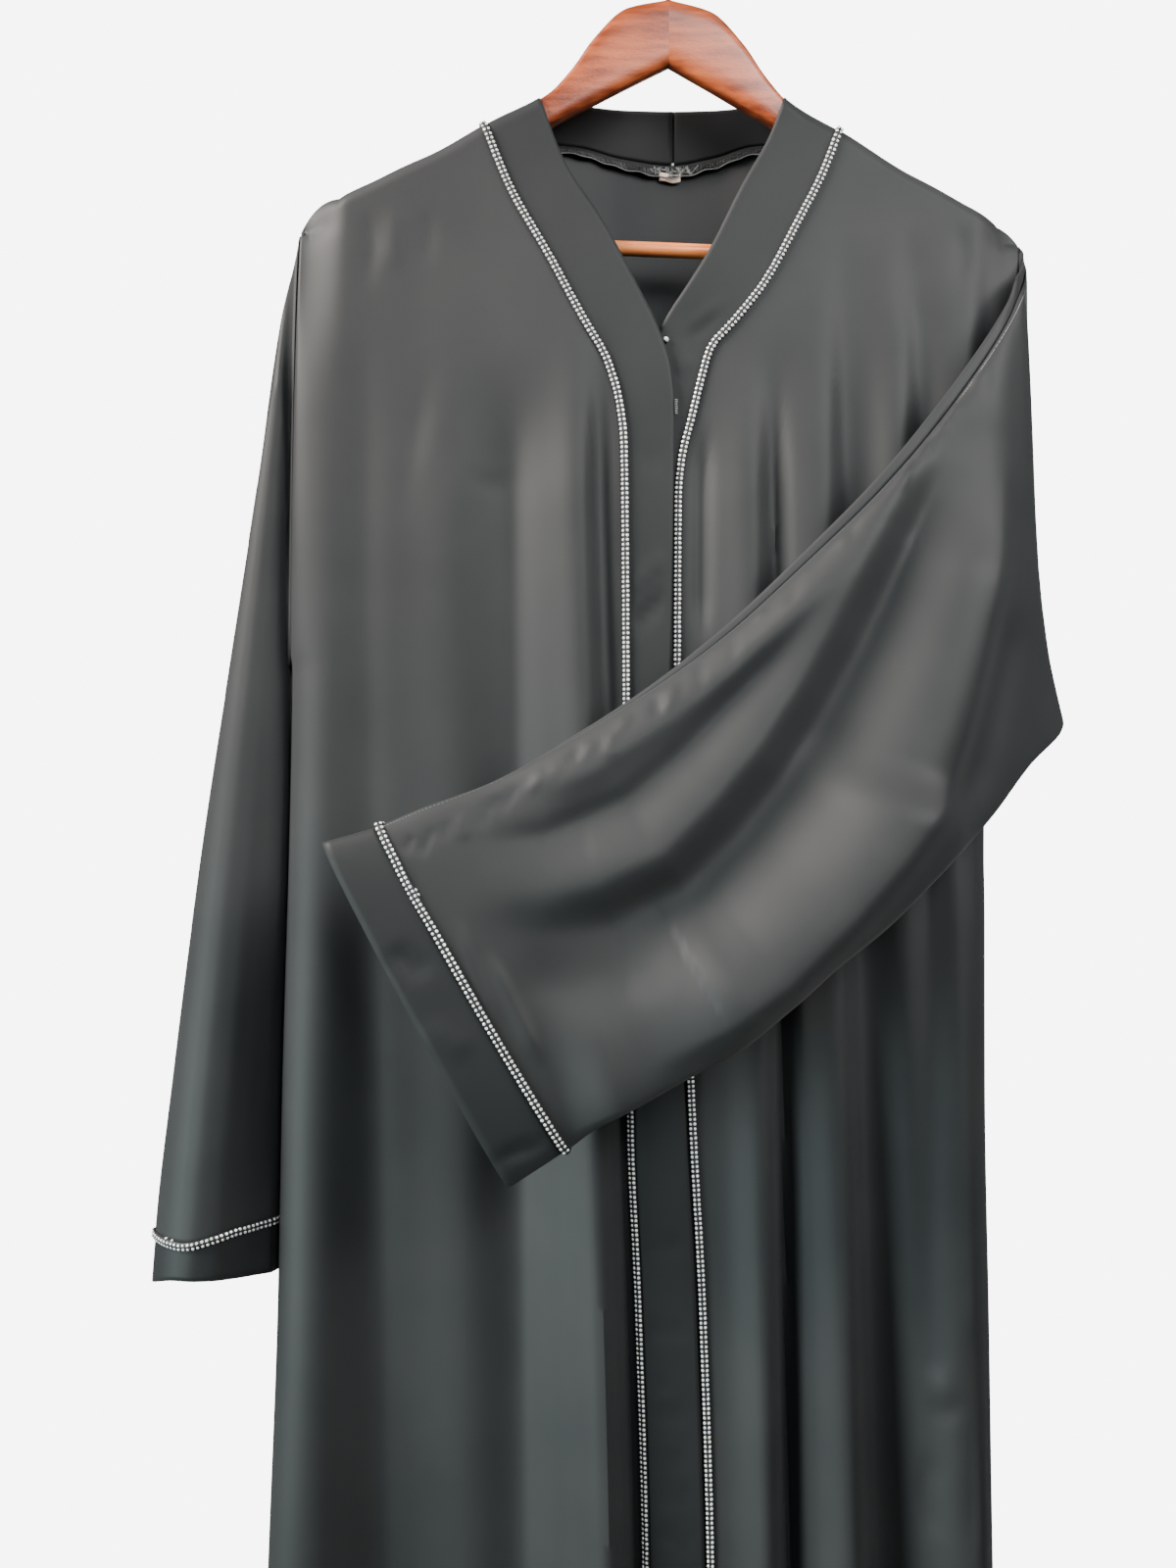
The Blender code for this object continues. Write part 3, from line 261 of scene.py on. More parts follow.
# Sleeves, from the armhole (0) to the cuff seam (1) and the cuff's end. Upper and lower seam,
# the way the back half faces (degrees in plan), how far each half stands off the line between
# the seams, how far the front half rolls over the upper seam, and how that line bends (1 is
# straight, more keeps it under the upper seam for longer).
SleeveRow = namedtuple(
    "SleeveRow", "share top_x top_y top_z low_x low_y low_z turn front back roll bend")
RIGHT_SLEEVE_ROWS = table(
    SleeveRow,
    (0.0, -0.2382, 0.0, -0.2222, -0.2435, 0.0, -0.5, 90, 0.011, 0.011, 0, 1),
    (0.03, -0.241, 0.001, -0.235, -0.246, 0.003, -0.506, 90, 0.01, 0.012, 0, 1),
    (0.1, -0.251, 0.002, -0.276, -0.2475, 0.012, -0.53, 87, 0.015, 0.015, 0, 1),
    (0.25, -0.2635, 0.004, -0.365, -0.248, 0.03, -0.585, 85, 0.025, 0.02, 0, 1),
    (0.45, -0.278, 0.004, -0.485, -0.245, 0.05, -0.655, 82, 0.045, 0.025, 0, 1),
    (0.65, -0.2905, 0.003, -0.61, -0.235, 0.072, -0.73, 79, 0.07, 0.028, 0, 1),
    (0.85, -0.301, 0.001, -0.74, -0.222, 0.09, -0.805, 77, 0.092, 0.03, 0, 1),
    (1.0, -0.3085, 0.0, -0.845, -0.211, 0.102, -0.863, 76, 0.106, 0.03, 0, 1),
    (1.05, -0.311, 0.0, -0.882, -0.209, 0.104, -0.899, 76, 0.107, 0.03, 0, 1),
)
LEFT_SLEEVE_ROWS = table(
    SleeveRow,
    (0.0, 0.2262, 0.0, -0.2295, 0.2125, 0.0, -0.52, 90, 0.011, 0.011, 0, 1),
    (0.03, 0.229, -0.002, -0.236, 0.223, 0.002, -0.525, 82, 0.01, 0.009, 0.002, 1),
    (0.06, 0.229, -0.007, -0.244, 0.243, 0.006, -0.53, 55, 0.007, 0.004, 0.004, 2.4),
    (0.1, 0.2265, -0.014, -0.255, 0.256, 0.003, -0.538, 10, 0.004, 0.002, 0.007, 3),
    (0.12, 0.2235, -0.02, -0.261, 0.2515, -0.004, -0.545, -15, 0.004, 0.003, 0.009, 2.4),
    (0.14, 0.22, -0.027, -0.268, 0.2275, -0.02, -0.565, -40, 0.005, 0.007, 0.011, 1.4),
    (0.18, 0.213, -0.034, -0.284, 0.1991, -0.042, -0.596, -75, 0.007, 0.01, 0.014, 1),
    (0.22, 0.202, -0.041, -0.303, 0.18, -0.053, -0.615, -88, 0.008, 0.012, 0.016, 1),
    (0.3, 0.1658, -0.05, -0.3535, 0.1551, -0.062, -0.637, -90, 0.008, 0.016, 0.015, 1),
    (0.39, 0.1281, -0.057, -0.3972, 0.126, -0.068, -0.664, -90, 0.009, 0.019, 0.012, 1),
    (0.48, 0.079, -0.063, -0.445, 0.0953, -0.073, -0.687, -90, 0.01, 0.021, 0.009, 1),
    (0.57, 0.0306, -0.07, -0.4888, 0.0651, -0.079, -0.712, -91, 0.011, 0.022, 0.007, 1),
    (0.66, -0.017, -0.078, -0.5236, 0.0352, -0.085, -0.735, -92, 0.011, 0.021, 0.004, 1),
    (0.75, -0.0638, -0.086, -0.5525, 0.0086, -0.091, -0.748, -93, 0.011, 0.019, 0.002, 1),
    (0.84, -0.1098, -0.094, -0.5775, -0.0177, -0.097, -0.762, -94, 0.011, 0.017, 0, 1),
    (0.93, -0.1495, -0.1, -0.5924, -0.0465, -0.102, -0.777, -95, 0.011, 0.016, 0, 1),
    (1.0, -0.173, -0.104, -0.602, -0.0647, -0.104, -0.79, -96, 0.011, 0.015, 0, 1),
    (1.08, -0.2053, -0.108, -0.6115, -0.0976, -0.107, -0.811, -97, 0.012, 0.014, 0, 1),
)
ROLL_PEAK = 0.06          # where round the section the roll is highest

SIDE_CLEAR = 0.003        # the hanging sleeve keeps this far off the body's side edge
SIDE_CLEAR_DEPTH = 0.016   # and behind this depth it may come in
SIDE_CLEAR_SLOPE = 0.5     # by this much for each metre of depth

ROLL_STEPS = (0.0, 11.25, 22.5, 33.75, 45.0, 56.25, 67.5, 78.75, 90.0)
BAND_COLUMNS = tuple(i / 14 for i in range(15))
SECTION_COLUMNS = (0.0, 0.008, 0.018, 0.03, 0.045, 0.06, 0.08,
                   *(0.1 + 0.0125 * i for i in range(65)), 0.92, 0.94, 0.96, 0.975, 0.988, 1.0)

# ---------------------------------------------------------------- looks
WALL = 0.0011              # thickness of the cloth that shows
RIM = 0.0004               # and of bands and cuffs
PUCKER_STEP = 0.0026
ROW_STEP = 0.0055          # spacing of the fine grids
COLUMN_STEP = 0.0036
PANEL_WIDTH = 0.22
SHOULDER_WIDTH = 0.12
NECK_MIDDLE = 0.004
SLEEVE_LENGTHS = {"right": 0.7, "left": 0.46}
CREPE_SPECULAR = 0.2
CREPE_ROUGHNESS = 0.55
FILL_COLOUR = (0.45, 0.88, 1.0)
FILL_STRENGTH = 0.038
BACKDROP = 7.0
WOOD_SECTION = 0.5
PIPE_HALF = 0.0024         # stone-set piping: half width and height of its arch
PIPE_HIGH = 0.0016
PIPE_BASE = CLOTH / 2 + 0.0004
STONE_PITCH = 0.00295
STONE_TURN = 71.0          # degrees between two rows of stones round the arch
STONE_REACH = 80.0
STONE_RADIUS = 0.00099
SHOULDER_LAP = 0.001      # how far the front laps over the back along the shoulder
STONE_SIDES = 8
STONE_PROFILE = ((0.8, -0.3), (1.0, 0.1), (0.92, 0.36), (0.58, 0.66))
CAMERA_PLACE = (-0.0522, -1.0, -0.5775)
CAMERA_LENS = 35.38
SHARP_FROM = math.radians(50)     # edges sharper than this are not smoothed
NECK_EDGE = (-0.0860, 0.0800)     # the neck seam's allowance runs between these places
ALLOWANCE_WALL = 0.0007
LABEL_WALL = 0.0004
THREAD = 0.00022           # radius of a stitch
OVERLOCK = 0.00028         # and of an overlock thread
STITCH_OUT = 0.0009        # a tack's stitch stands this far off the cloth's centre
FINE_GRAIN = 0.0002        # height of the cloth's and metal's grain
TURN_AT_EDGE = 0.030       # the body's side edges turn to the back within this width
TURN_AT_LEFT = 0.017       # the front's left edge within this one
FOLD_FREE = 0.032          # and within this width an armhole holds the cloth flat
FLOOR_Z = -1.72
FLOOR_RADIUS = 1.1
# A listed fold: the points it runs through, its widths to the left and right of its way,
# its height (minus is a trough) and the share of its length over which each end fades.
Crease = namedtuple("Crease", "xs zs before after height fade")
SLEEVE_CREASES = table(
    Crease,
    ((0.1772, 0.1479, 0.1333, 0.1128, 0.0894, 0.0689, 0.0426, 0.0163, -0.0101, -0.0452, -0.0785,
      -0.1312),
     (-0.3206, -0.3645, -0.3938, -0.4347, -0.4815, -0.5166, -0.5576, -0.5898, -0.6173, -0.6331,
      -0.6389, -0.636), 0.014, 0.03, 0.009, 0.25),
    ((0.1994, 0.1701, 0.1555, 0.135, 0.1116, 0.0912, 0.0648, 0.0385, 0.0051, -0.0358, -0.0744,
      -0.1271),
     (-0.337, -0.3809, -0.4102, -0.4511, -0.4979, -0.533, -0.574, -0.6062, -0.6389, -0.6582,
      -0.6653, -0.6618), 0.04, 0.014, -0.013, 0.25),
    ((0.2041, 0.1959, 0.184, 0.1697, 0.152, 0.13, 0.099, 0.0616, 0.0275, -0.0237),
     (-0.361, -0.4371, -0.4897, -0.545, -0.592, -0.621, -0.656, -0.692, -0.715, -0.74), 0.015,
      0.05, 0.024, 0.16),
    ((0.178, 0.164, 0.134, 0.088, 0.034, -0.02, -0.062),
     (-0.578, -0.617, -0.668, -0.718, -0.754, -0.779, -0.79), 0.014, 0.075, 0.018, 0.14),
    ((0.2088, 0.1971, 0.1818, 0.1672),
     (-0.4605, -0.5073, -0.5541, -0.5951), 0.02, 0.012, -0.007, 0.25),
    ((0.1116, 0.0648, 0.0297, -0.0054, -0.0522, -0.099),
     (-0.4312, -0.4792, -0.5108, -0.5377, -0.5687, -0.5892), 0.01, 0.014, 0.005, 0.2),
    ((0.1011, 0.0648, 0.0356, 0.0063, -0.0288, -0.0756, -0.1283),
     (-0.4546, -0.4979, -0.5272, -0.5588, -0.588, -0.6079, -0.6149), 0.022, 0.009, -0.0065, 0.25),
    ((-0.099, -0.0522, 0.0005), (-0.6857, -0.6957, -0.6887), 0.02, 0.016, -0.004, 0.4),
    ((-0.1107, -0.0932, -0.0756), (-0.6711, -0.7062, -0.7413), 0.003, 0.006, 0.0022, 0.3),
    ((-0.1283, -0.1166, -0.099), (-0.6536, -0.6857, -0.7179), 0.004, 0.004, 0.0012, 0.3),
)
FRONT_CREASES = table(
    Crease,
    ((-0.1522, -0.1565, -0.1639, -0.1719),
     (-0.2982, -0.332, -0.375, -0.4179), 0.008, 0.006, -0.0005, 0.45),
    ((-0.143, -0.1504, -0.1596), (-0.3197, -0.3627, -0.3995), 0.008, 0.01, 0.0005, 0.45),
    ((-0.1943, -0.1906, -0.1943), (-0.2066, -0.2347, -0.2659), 0.006, 0.006, -0.0012, 0.4),
    ((-0.1781, -0.1756, -0.1781), (-0.2035, -0.2285, -0.2534), 0.006, 0.006, 0.001, 0.4),
    ((-0.1538, -0.1544, -0.1582), (-0.2066, -0.2285, -0.2503), 0.006, 0.006, -0.001, 0.4),
    ((-0.1332, -0.1136, -0.0952), (-0.3811, -0.3885, -0.3811), 0.004, 0.005, -0.0006, 0.4),
    ((0.1545, 0.1514, 0.1545), (-0.2166, -0.2567, -0.2999), 0.01, 0.008, -0.0018, 0.4),
    ((0.1853, 0.1872, 0.1847), (-0.2166, -0.2382, -0.2629), 0.006, 0.006, -0.0014, 0.4),
    ((0.1618, 0.1582, 0.1642), (-0.99, -1.0199, -1.0498), 0.006, 0.005, -0.0015, 0.3),
    ((0.1666, 0.169, 0.1726), (-0.9362, -0.9506, -0.9613), 0.006, 0.008, 0.0022, 0.45),
    ((0.157, 0.1702, 0.1845), (-0.9637, -0.9673, -0.9577), 0.003, 0.004, -0.0016, 0.4),
    ((0.1863, 0.1869, 0.1857), (-0.9003, -0.9661, -1.0558), 0.004, 0.006, -0.002, 0.2),
    ((0.0188, 0.0184, 0.018), (-0.3404, -0.4179, -0.4954), 0.006, 0.006, -0.006, 0.25),
)
CUFF_CREASES = table(
    Crease,
    ((-0.166, -0.153, -0.1404), (-0.669, -0.68, -0.686), 0.005, 0.006, -0.0022, 0.3),
    ((-0.145, -0.129, -0.118), (-0.712, -0.725, -0.729), 0.005, 0.007, 0.0014, 0.3),
    ((-0.1063, -0.093, -0.075), (-0.793, -0.788, -0.785), 0.004, 0.005, -0.0024, 0.3),
)
RIGHT_BAND_CREASES = table(
    Crease,
    ((-0.0223, -0.0044, 0.01), (-0.8663, -0.8681, -0.8645), 0.0022, 0.003, -0.0012, 0.3),
    ((-0.0211, -0.002, 0.0124), (-0.9171, -0.9201, -0.9177), 0.0022, 0.003, -0.0011, 0.3),
    ((-0.0193, 0.0016), (-0.9506, -0.9517), 0.002, 0.0026, -0.0008, 0.3),
    ((-0.0193, -0.002, 0.0148), (-0.9691, -0.9715, -0.9691), 0.0022, 0.0028, -0.0011, 0.3),
    ((-0.0175, 0.0016, 0.016), (-0.9948, -0.9984, -1.0056), 0.0024, 0.003, -0.0014, 0.3),
    ((-0.0115, 0.0076, 0.016), (-1.0079, -1.0139, -1.0199), 0.002, 0.0026, -0.0009, 0.3),
    ((-0.0163, 0.0016, 0.0148), (-1.0229, -1.0223, -1.0247), 0.002, 0.0026, -0.0009, 0.3),
    ((-0.0151, 0.0016, 0.0171), (-1.0414, -1.0474, -1.0546), 0.0024, 0.0032, -0.0014, 0.3),
    ((-0.0277, -0.0141, 0.0006), (-0.4818, -0.4683, -0.4572), 0.004, 0.006, -0.0018, 0.3),
    ((-0.0264, -0.0129, -0.0006), (-0.4548, -0.4412, -0.4314), 0.004, 0.005, 0.001, 0.3),
    ((-0.0215, -0.0105, 0.0018), (-0.375, -0.3701, -0.3725), 0.004, 0.005, -0.0008, 0.3),
)
LEFT_BAND_CREASES = table(
    Crease,
    ((-0.0006, 0.0141, 0.0239), (-0.305, -0.3099, -0.3056), 0.0018, 0.0026, 0.0009, 0.35),
    ((0.0055, 0.019, 0.0337), (-0.2952, -0.289, -0.2792), 0.0022, 0.003, -0.001, 0.35),
    ((0.0116, 0.0227, 0.0374), (-0.2841, -0.2755, -0.2706), 0.0022, 0.003, 0.0009, 0.35),
    ((0.003, 0.0116, 0.019), (-0.3148, -0.3185, -0.3148), 0.0018, 0.0024, -0.0007, 0.35),
)
# The drawn sleeve's overarm seam, and how far each pucker along it runs and rises.
SEAM_LINE = ((0.1998, -0.3113), (0.1767, -0.3409), (0.1507, -0.374), (0.1016, -0.4243), (0.0543,
             -0.4699), (0.0069, -0.5113), (-0.0404, -0.5467), (-0.0759, -0.5686), (-0.1232,
             -0.5929), (-0.1557, -0.6083))
PUCKERS = 34
STITCH_INSET = 0.003      # topstitch: distance from the seam, and length of a stitch
STITCH_LENGTH = 0.0026
# The hanging sleeve's front: its outline seen from the camera, how far it rises across its
# width (0 at the outline, 1 at the body) and how far its cuff drops, round from the upper seam.
CAMERA_X = -0.0522         # the camera's own x
HangEdge = namedtuple("HangEdge", "z x")
HANG_EDGE = table(
    HangEdge,
    (-0.24, -0.2455), (-0.28, -0.2519), (-0.36, -0.2634), (-0.48, -0.2791),
    (-0.62, -0.2957), (-0.74, -0.3079), (-0.84, -0.3166), (-0.92, -0.322),
)
HangShape = namedtuple("HangShape", "across rise")
HANG_SHAPE = table(
    HangShape,
    (0.0, 0.0), (0.08, 0.4), (0.17, 0.72), (0.27, 0.92),
    (0.38, 1.0), (0.52, 0.93), (0.68, 0.66), (0.84, 0.28), (1.0, -0.2),
)
CuffSag = namedtuple("CuffSag", "around seam hem")
CUFF_SAG = table(
    CuffSag,
    (0.0, 0.018, 0.0125), (0.2, 0.018, 0.012), (0.4, 0.016, 0.001),
    (0.6, 0.003, -0.003), (0.75, -0.002, -0.004), (1.0, -0.002, -0.004),
)
# name, place, aim, size, power, colour and spread in degrees
LIGHTS = (
    ("key", (-1.5, -0.6, 0.7), (-0.02, 0.0, -0.33), (0.9, 0.9), 22.0, (1.0, 0.93, 0.87), 66.0),
    ("low", (-1.3, -0.7, -0.95), (0.2, 0.0, -0.95), (0.8, 0.8), 4.0, (0.8, 1.0, 1.0), 60.0),
    ("front", (0.6, -1.7, 0.6), (0.05, 0.0, -0.35), (1.0, 1.0), 3.3, (0.96, 0.99, 1.0), 46.0),
    ("back", (0.5, 1.7, 0.5), (0.0, 0.0, -0.7), (1.2, 1.2), 26.0, (1.0, 1.0, 1.0), 180.0),
    ("side", (1.3, -1.0, 0.4), (0.15, 0.0, -0.35), (0.9, 0.9), 5.8, (1.0, 0.98, 0.95), 60.0),
)


BAND_ROWS = {"right": RIGHT_BAND_ROWS, "left": LEFT_BAND_ROWS}
SLEEVE_ROWS = {"right": RIGHT_SLEEVE_ROWS, "left": LEFT_SLEEVE_ROWS}


# ---------------------------------------------------------------- reading the tables
def mix(low, high, share):
    return low + (high - low) * share


def ease(share):
    """0 to 1 with level ends."""
    share = min(max(share, 0.0), 1.0)
    return share * share * (3.0 - 2.0 * share)


def arc(share):
    """0 to 1 along a quarter circle: steep at 0, level at 1."""
    share = min(max(share, 0.0), 1.0)
    return math.sqrt(1.0 - (1.0 - share) ** 2)


def row_slope(rows, column, index):
    """Slope of a column at a row, level at a turn so that the curve never overshoots."""
    def between(a, b):
        return (rows[b][column] - rows[a][column]) / (rows[b][0] - rows[a][0])

    if index == 0:
        return between(0, 1)
    if index == len(rows) - 1:
        return between(index - 1, index)
    before, after = between(index - 1, index), between(index, index + 1)
    if before * after <= 0.0:
        return 0.0
    return 2.0 * before * after / (before + after)


def read_table(rows, key):
    """The row at any value of the first column, on a smooth curve through the rows."""
    way = 1.0 if rows[-1][0] > rows[0][0] else -1.0
    index = 0
    while index < len(rows) - 2 and (key - rows[index + 1][0]) * way > 0.0:
        index += 1
    low, high = rows[index], rows[index + 1]
    span = high[0] - low[0]
    t = min(max((key - low[0]) / span, 0.0), 1.0)
    values = [key]
    for column in range(1, len(low)):
        start = row_slope(rows, column, index) * span
        end = row_slope(rows, column, index + 1) * span
        values.append((2 * t ** 3 - 3 * t ** 2 + 1) * low[column]
                      + (t ** 3 - 2 * t ** 2 + t) * start
                      + (3 * t ** 2 - 2 * t ** 3) * high[column] + (t ** 3 - t ** 2) * end)
    return type(low)(*values)


# ---------------------------------------------------------------- the body's surfaces
def shoulder_z(x):
    """Height of the cloth's centre where it crosses the hanger."""
    out = abs(x)
    top = read_table(ARM_ROWS, min(out, ARM_ROWS[-2].out)).top
    tip = ARMHOLES["right" if x < 0.0 else "left"].tip
    drop = TIP_DROP * max(out - tip, 0.0) ** 3
    return top - ARM_LEAN * x + CLOTH_OVER_ARM - drop


def body_edge(side, z):
    """x of the body's edge: the armhole's chord, and the side seam below it."""
    hole = ARMHOLES[side]
    if z > hole.low_z:
        return mix(hole.low_x, hole.top_x, (z - hole.low_z) / (hole.top_z - hole.low_z))
    return getattr(read_table(EDGE_ROWS, z), side)


def armhole_depth(side, z):
    """How far the armhole's edge stands off the hanger's plane at a height."""
    hole = ARMHOLES[side]
    half = (hole.top_z - hole.low_z) / 2
    level = (z - (hole.top_z - half)) / half
    return hole.half_open * max(1.0 - level * level, 0.0) ** (SECTION_POWER / 2)


def fold_height(fold, x, z):
    """How far one long fold lifts the cloth."""
    if z > FOLD_UPPER_Z:
        height = fold.upper * ease((fold.start_z - z) / (fold.start_z - FOLD_UPPER_Z))
    else:
        height = mix(fold.upper, fold.lower, ease((FOLD_UPPER_Z - z) / (FOLD_UPPER_Z - FOLD_LOWER_Z)))
    hem_share = max(FOLD_LOWER_Z - z, 0.0) / (FOLD_LOWER_Z - HEM_Z)
    height *= 1.0 + FOLD_HEM_GROWTH * hem_share
    run = (FOLD_UPPER_Z - z) / (FOLD_UPPER_Z - FOLD_LOWER_Z)
    away = x - mix(fold.x_upper, fold.x_lower, max(run, 0.0))
    width = fold.to_left if away > 0.0 else fold.to_right
    return height * math.exp(-(away / width) ** 2)


def body_depth(face, x, z):
    """Distance of the front or back from the hanger's plane."""
    right, left = body_edge("right", z), body_edge("left", z)
    side = "right" if x - right < left - x else "left"
    inset = max(min(x - right, left - x), 0.0)
    below_arm = ease((ARMHOLES[side].low_z - z) / 0.15)
    if side == "right" and face == "front":
        below_arm = max(below_arm, ease((-0.24 - z) / 0.10))
    turn = TURN_AT_LEFT if side == "left" and face == "front" else TURN_AT_EDGE
    inner = mix(ease(inset / FOLD_FREE), arc(inset / turn), below_arm)
    roll = SHOULDER_ROLL * arc((shoulder_z(x) - z) / SHOULDER_ROLL)
    middle = (2 * x - right - left) / (left - right)
    full = getattr(read_table(FULL_ROWS, z), face) * (1.0 - 0.25 * middle * middle)
    folds = FRONT_FOLDS if face == "front" else BACK_FOLDS
    raised = sum(fold_height(fold, x, z) for fold in folds)
    seam = mix(LIP, SHOULDER_SEAM, ease(inset / 0.030))
    return seam + mix(armhole_depth(side, z), roll + full + raised, inner)


def left_under(x, z):
    """How far the left front is tucked back to lie under the right band."""
    start = ease((BAND_UNDER_START - z) / BAND_UNDER_RUN)
    return BAND_UNDER * start * (1.0 - ease((x - 0.008) / BAND_UNDER_WIDTH))


def front_point(side, x, z):
    depth = body_depth("front", x, z)
    if side == "left":
        depth -= left_under(x, z)
    return Vector((x, -depth, z))


def back_point(x, z):
    """A point of the back, pushed out by the collar near the neck."""
    near_x = min(max(x, NECK_ROWS[0].x), NECK_ROWS[-1].x)
    neck = read_table(NECK_ROWS, near_x)
    push = neck.depth - body_depth("back", near_x, neck.z)
    push *= ease(1.0 - abs(x - near_x) / NECK_PUSH_SIDE) * math.exp((z - neck.z) / NECK_PUSH_RUN)
    return Vector((x, body_depth("back", x, z) + max(push, 0.0), z))


# ---------------------------------------------------------------- fine grids
def refined(values, step):
    """The same values with more between them, none further apart than step."""
    fine = [values[0]]
    for low, high in zip(values, values[1:]):
        count = max(1, math.ceil((high - low) / step - 1e-6))
        fine.extend(mix(low, high, (i + 1) / count) for i in range(count))
    return fine


def body_shares(side):
    """Shares of the way down the side edge at which the body has its rows."""
    hole = ARMHOLES[side]
    length = hole.top_z - HEM_Z
    rolls = [SHOULDER_ROLL * (1 - math.cos(math.radians(step))) / length for step in ROLL_STEPS]
    return refined(rolls + [0.02, 0.03, (hole.top_z - hole.low_z) / length, 1.0], ROW_STEP / length)


def band_row(side, share):
    """The band's seam and free edge in the row at a share of the way down."""
    rows = BAND_ROWS[side]
    return read_table(rows, mix(rows[0].z, HEM_Z, share))


def side_step(side):
    """+1 from the front's panel towards its band."""
    return 1.0 if side == "right" else -1.0


def seam_shift(points, index, distance):
    """Move a point of a seam square to it, in the plane of the front."""
    before, after = points[max(index - 1, 0)], points[min(index + 1, len(points) - 1)]
    along = Vector((after.x - before.x, 0.0, after.z - before.z)).normalized()
    return Vector((-along.z * distance, 0.0, along.x * distance))


def front_seam(side):
    """The seam between front and band, one point a row, starting on the hanger's crest."""
    shares = body_shares(side)
    seam = []
    for share in shares:
        row = band_row(side, share)
        seam.append(Vector((row.x, 0.0, row.z)))
    rise = shoulder_z(seam[0].x) - seam[0].z
    for point, share in zip(seam, shares):
        point.z += rise * (1.0 - share) ** CREST_FADE
    return seam


def front_rows(side):
    """Rows of points of a front panel, from its side edge to its band seam."""
    hole = ARMHOLES[side]
    seam = front_seam(side)
    columns = refined([0.0, 0.012, 0.035, 0.070, 1.0], COLUMN_STEP / PANEL_WIDTH)
    inward = side_step(side)
    rows = []
    for index, share in enumerate(body_shares(side)):
        edge_z = mix(hole.top_z, HEM_Z, share)
        edge_x = body_edge(side, edge_z) + inward * (SEAM_GAP if edge_z > hole.low_z else 0.0)
        end = seam[index] + seam_shift(seam, index, SEAM_GAP / 2) * -inward
        row = []
        for column in columns:
            x = mix(edge_x, end.x, column)
            z = mix(edge_z, end.z, column)
            rise = shoulder_z(mix(hole.top_x, seam[0].x, column)) - mix(hole.top_z, seam[0].z, column)
            z = min(z + rise * (1.0 - share) ** CREST_FADE, shoulder_z(x))
            row.append(front_point(side, x, max(z, HEM_Z)))
        rows.append(row)
    return rows


def roll_crossing(side, step):
    """The back half of the band's seam and free edge where they cross the hanger."""
    rows = BAND_ROWS[side]
    neck = NECK_ROWS[0] if side == "right" else NECK_ROWS[-1]
    turn = math.radians(step)
    share = step / 90.0
    x = rows[0].x + side_step(side) * ROLL_INSET * share
    seam = back_point(x, shoulder_z(x) - SHOULDER_ROLL * (1 - math.cos(turn)))
    free = Vector((mix(rows[0].free_x, neck.free_x, share * 0.3), seam.y * 0.95,
                   mix(shoulder_z(rows[0].free_x), neck.free_z, share * 0.5)))
    return seam, free


def neck_line(side):
    """Seam and free edge of a band behind the hanger, from the centre back to the crest."""
    ends = (NECK_ROWS[0].x, NECK_MIDDLE) if side == "right" else (NECK_MIDDLE, NECK_ROWS[-1].x)
    places = refined(ends, COLUMN_STEP)
    line = []
    for x in places[::-1] if side == "right" else places:
        row = read_table(NECK_ROWS, x)
        line.append((Vector((row.x, row.depth, row.z)),
                     Vector((row.free_x, row.free_depth, row.free_z))))
    return line + [roll_crossing(side, step) for step in ROLL_STEPS[:0:-1]]


def band_ends(side):
    """Seam and free edge of a band from the centre back over the shoulder to the hem."""
    ends = []
    for seam, free in neck_line(side):
        ends.append((seam + (free - seam).normalized() * NECK_GAP / 2, free))
    seam = front_seam(side)
    for index, share in enumerate(body_shares(side)):
        row = band_row(side, share)
        start = seam[index] + seam_shift(seam, index, SEAM_GAP / 2) * side_step(side)
        ends.append((start, Vector((row.free_x, 0.0, row.free_z))))
    return ends


def band_rows(side):
    """Rows of points of a band, each from its seam to its free edge."""
    ends = band_ends(side)
    shares = body_shares(side)
    behind = len(ends) - len(shares)
    rows = [[seam.lerp(free, column) for column in BAND_COLUMNS] for seam, free in ends[:behind]]
    crest = [ends[behind][0].lerp(ends[behind][1], column) for column in BAND_COLUMNS]
    for share, (seam, free) in zip(shares, ends[behind:]):
        row = []
        for column, top in zip(BAND_COLUMNS, crest):
            point = seam.lerp(free, column)
            z = point.z + (shoulder_z(top.x) - top.z) * (1.0 - share) ** CREST_FADE
            row.append(front_point(side, point.x, max(min(z, shoulder_z(point.x)), HEM_Z)))
        rows.append(row)
    lap = Vector((0.0006, -0.0002, 0.0)) if side == "right" else Vector((-0.0004, 0.0008, 0.0))
    rows[0] = [point + lap for point in rows[0]]
    return rows


def back_top():
    """The upper edge of the back: shoulder, neck and shoulder."""
    shoulder = refined([0.0, 0.025, 0.07, 0.15, 1.0], COLUMN_STEP / SHOULDER_WIDTH)
    points = []
    for column in shoulder:
        x = mix(ARMHOLES["right"].top_x + SEAM_GAP, RIGHT_BAND_ROWS[0].x, column)
        points.append(Vector((x, 0.0, shoulder_z(x))))
    for seam, free in neck_line("right")[::-1] + neck_line("left")[1:]:
        points.append(seam - (free - seam).normalized() * NECK_GAP / 2)
    for column in shoulder[::-1]:
        x = mix(ARMHOLES["left"].top_x - SEAM_GAP, LEFT_BAND_ROWS[0].x, column)
        points.append(Vector((x, 0.0, shoulder_z(x))))
    return points


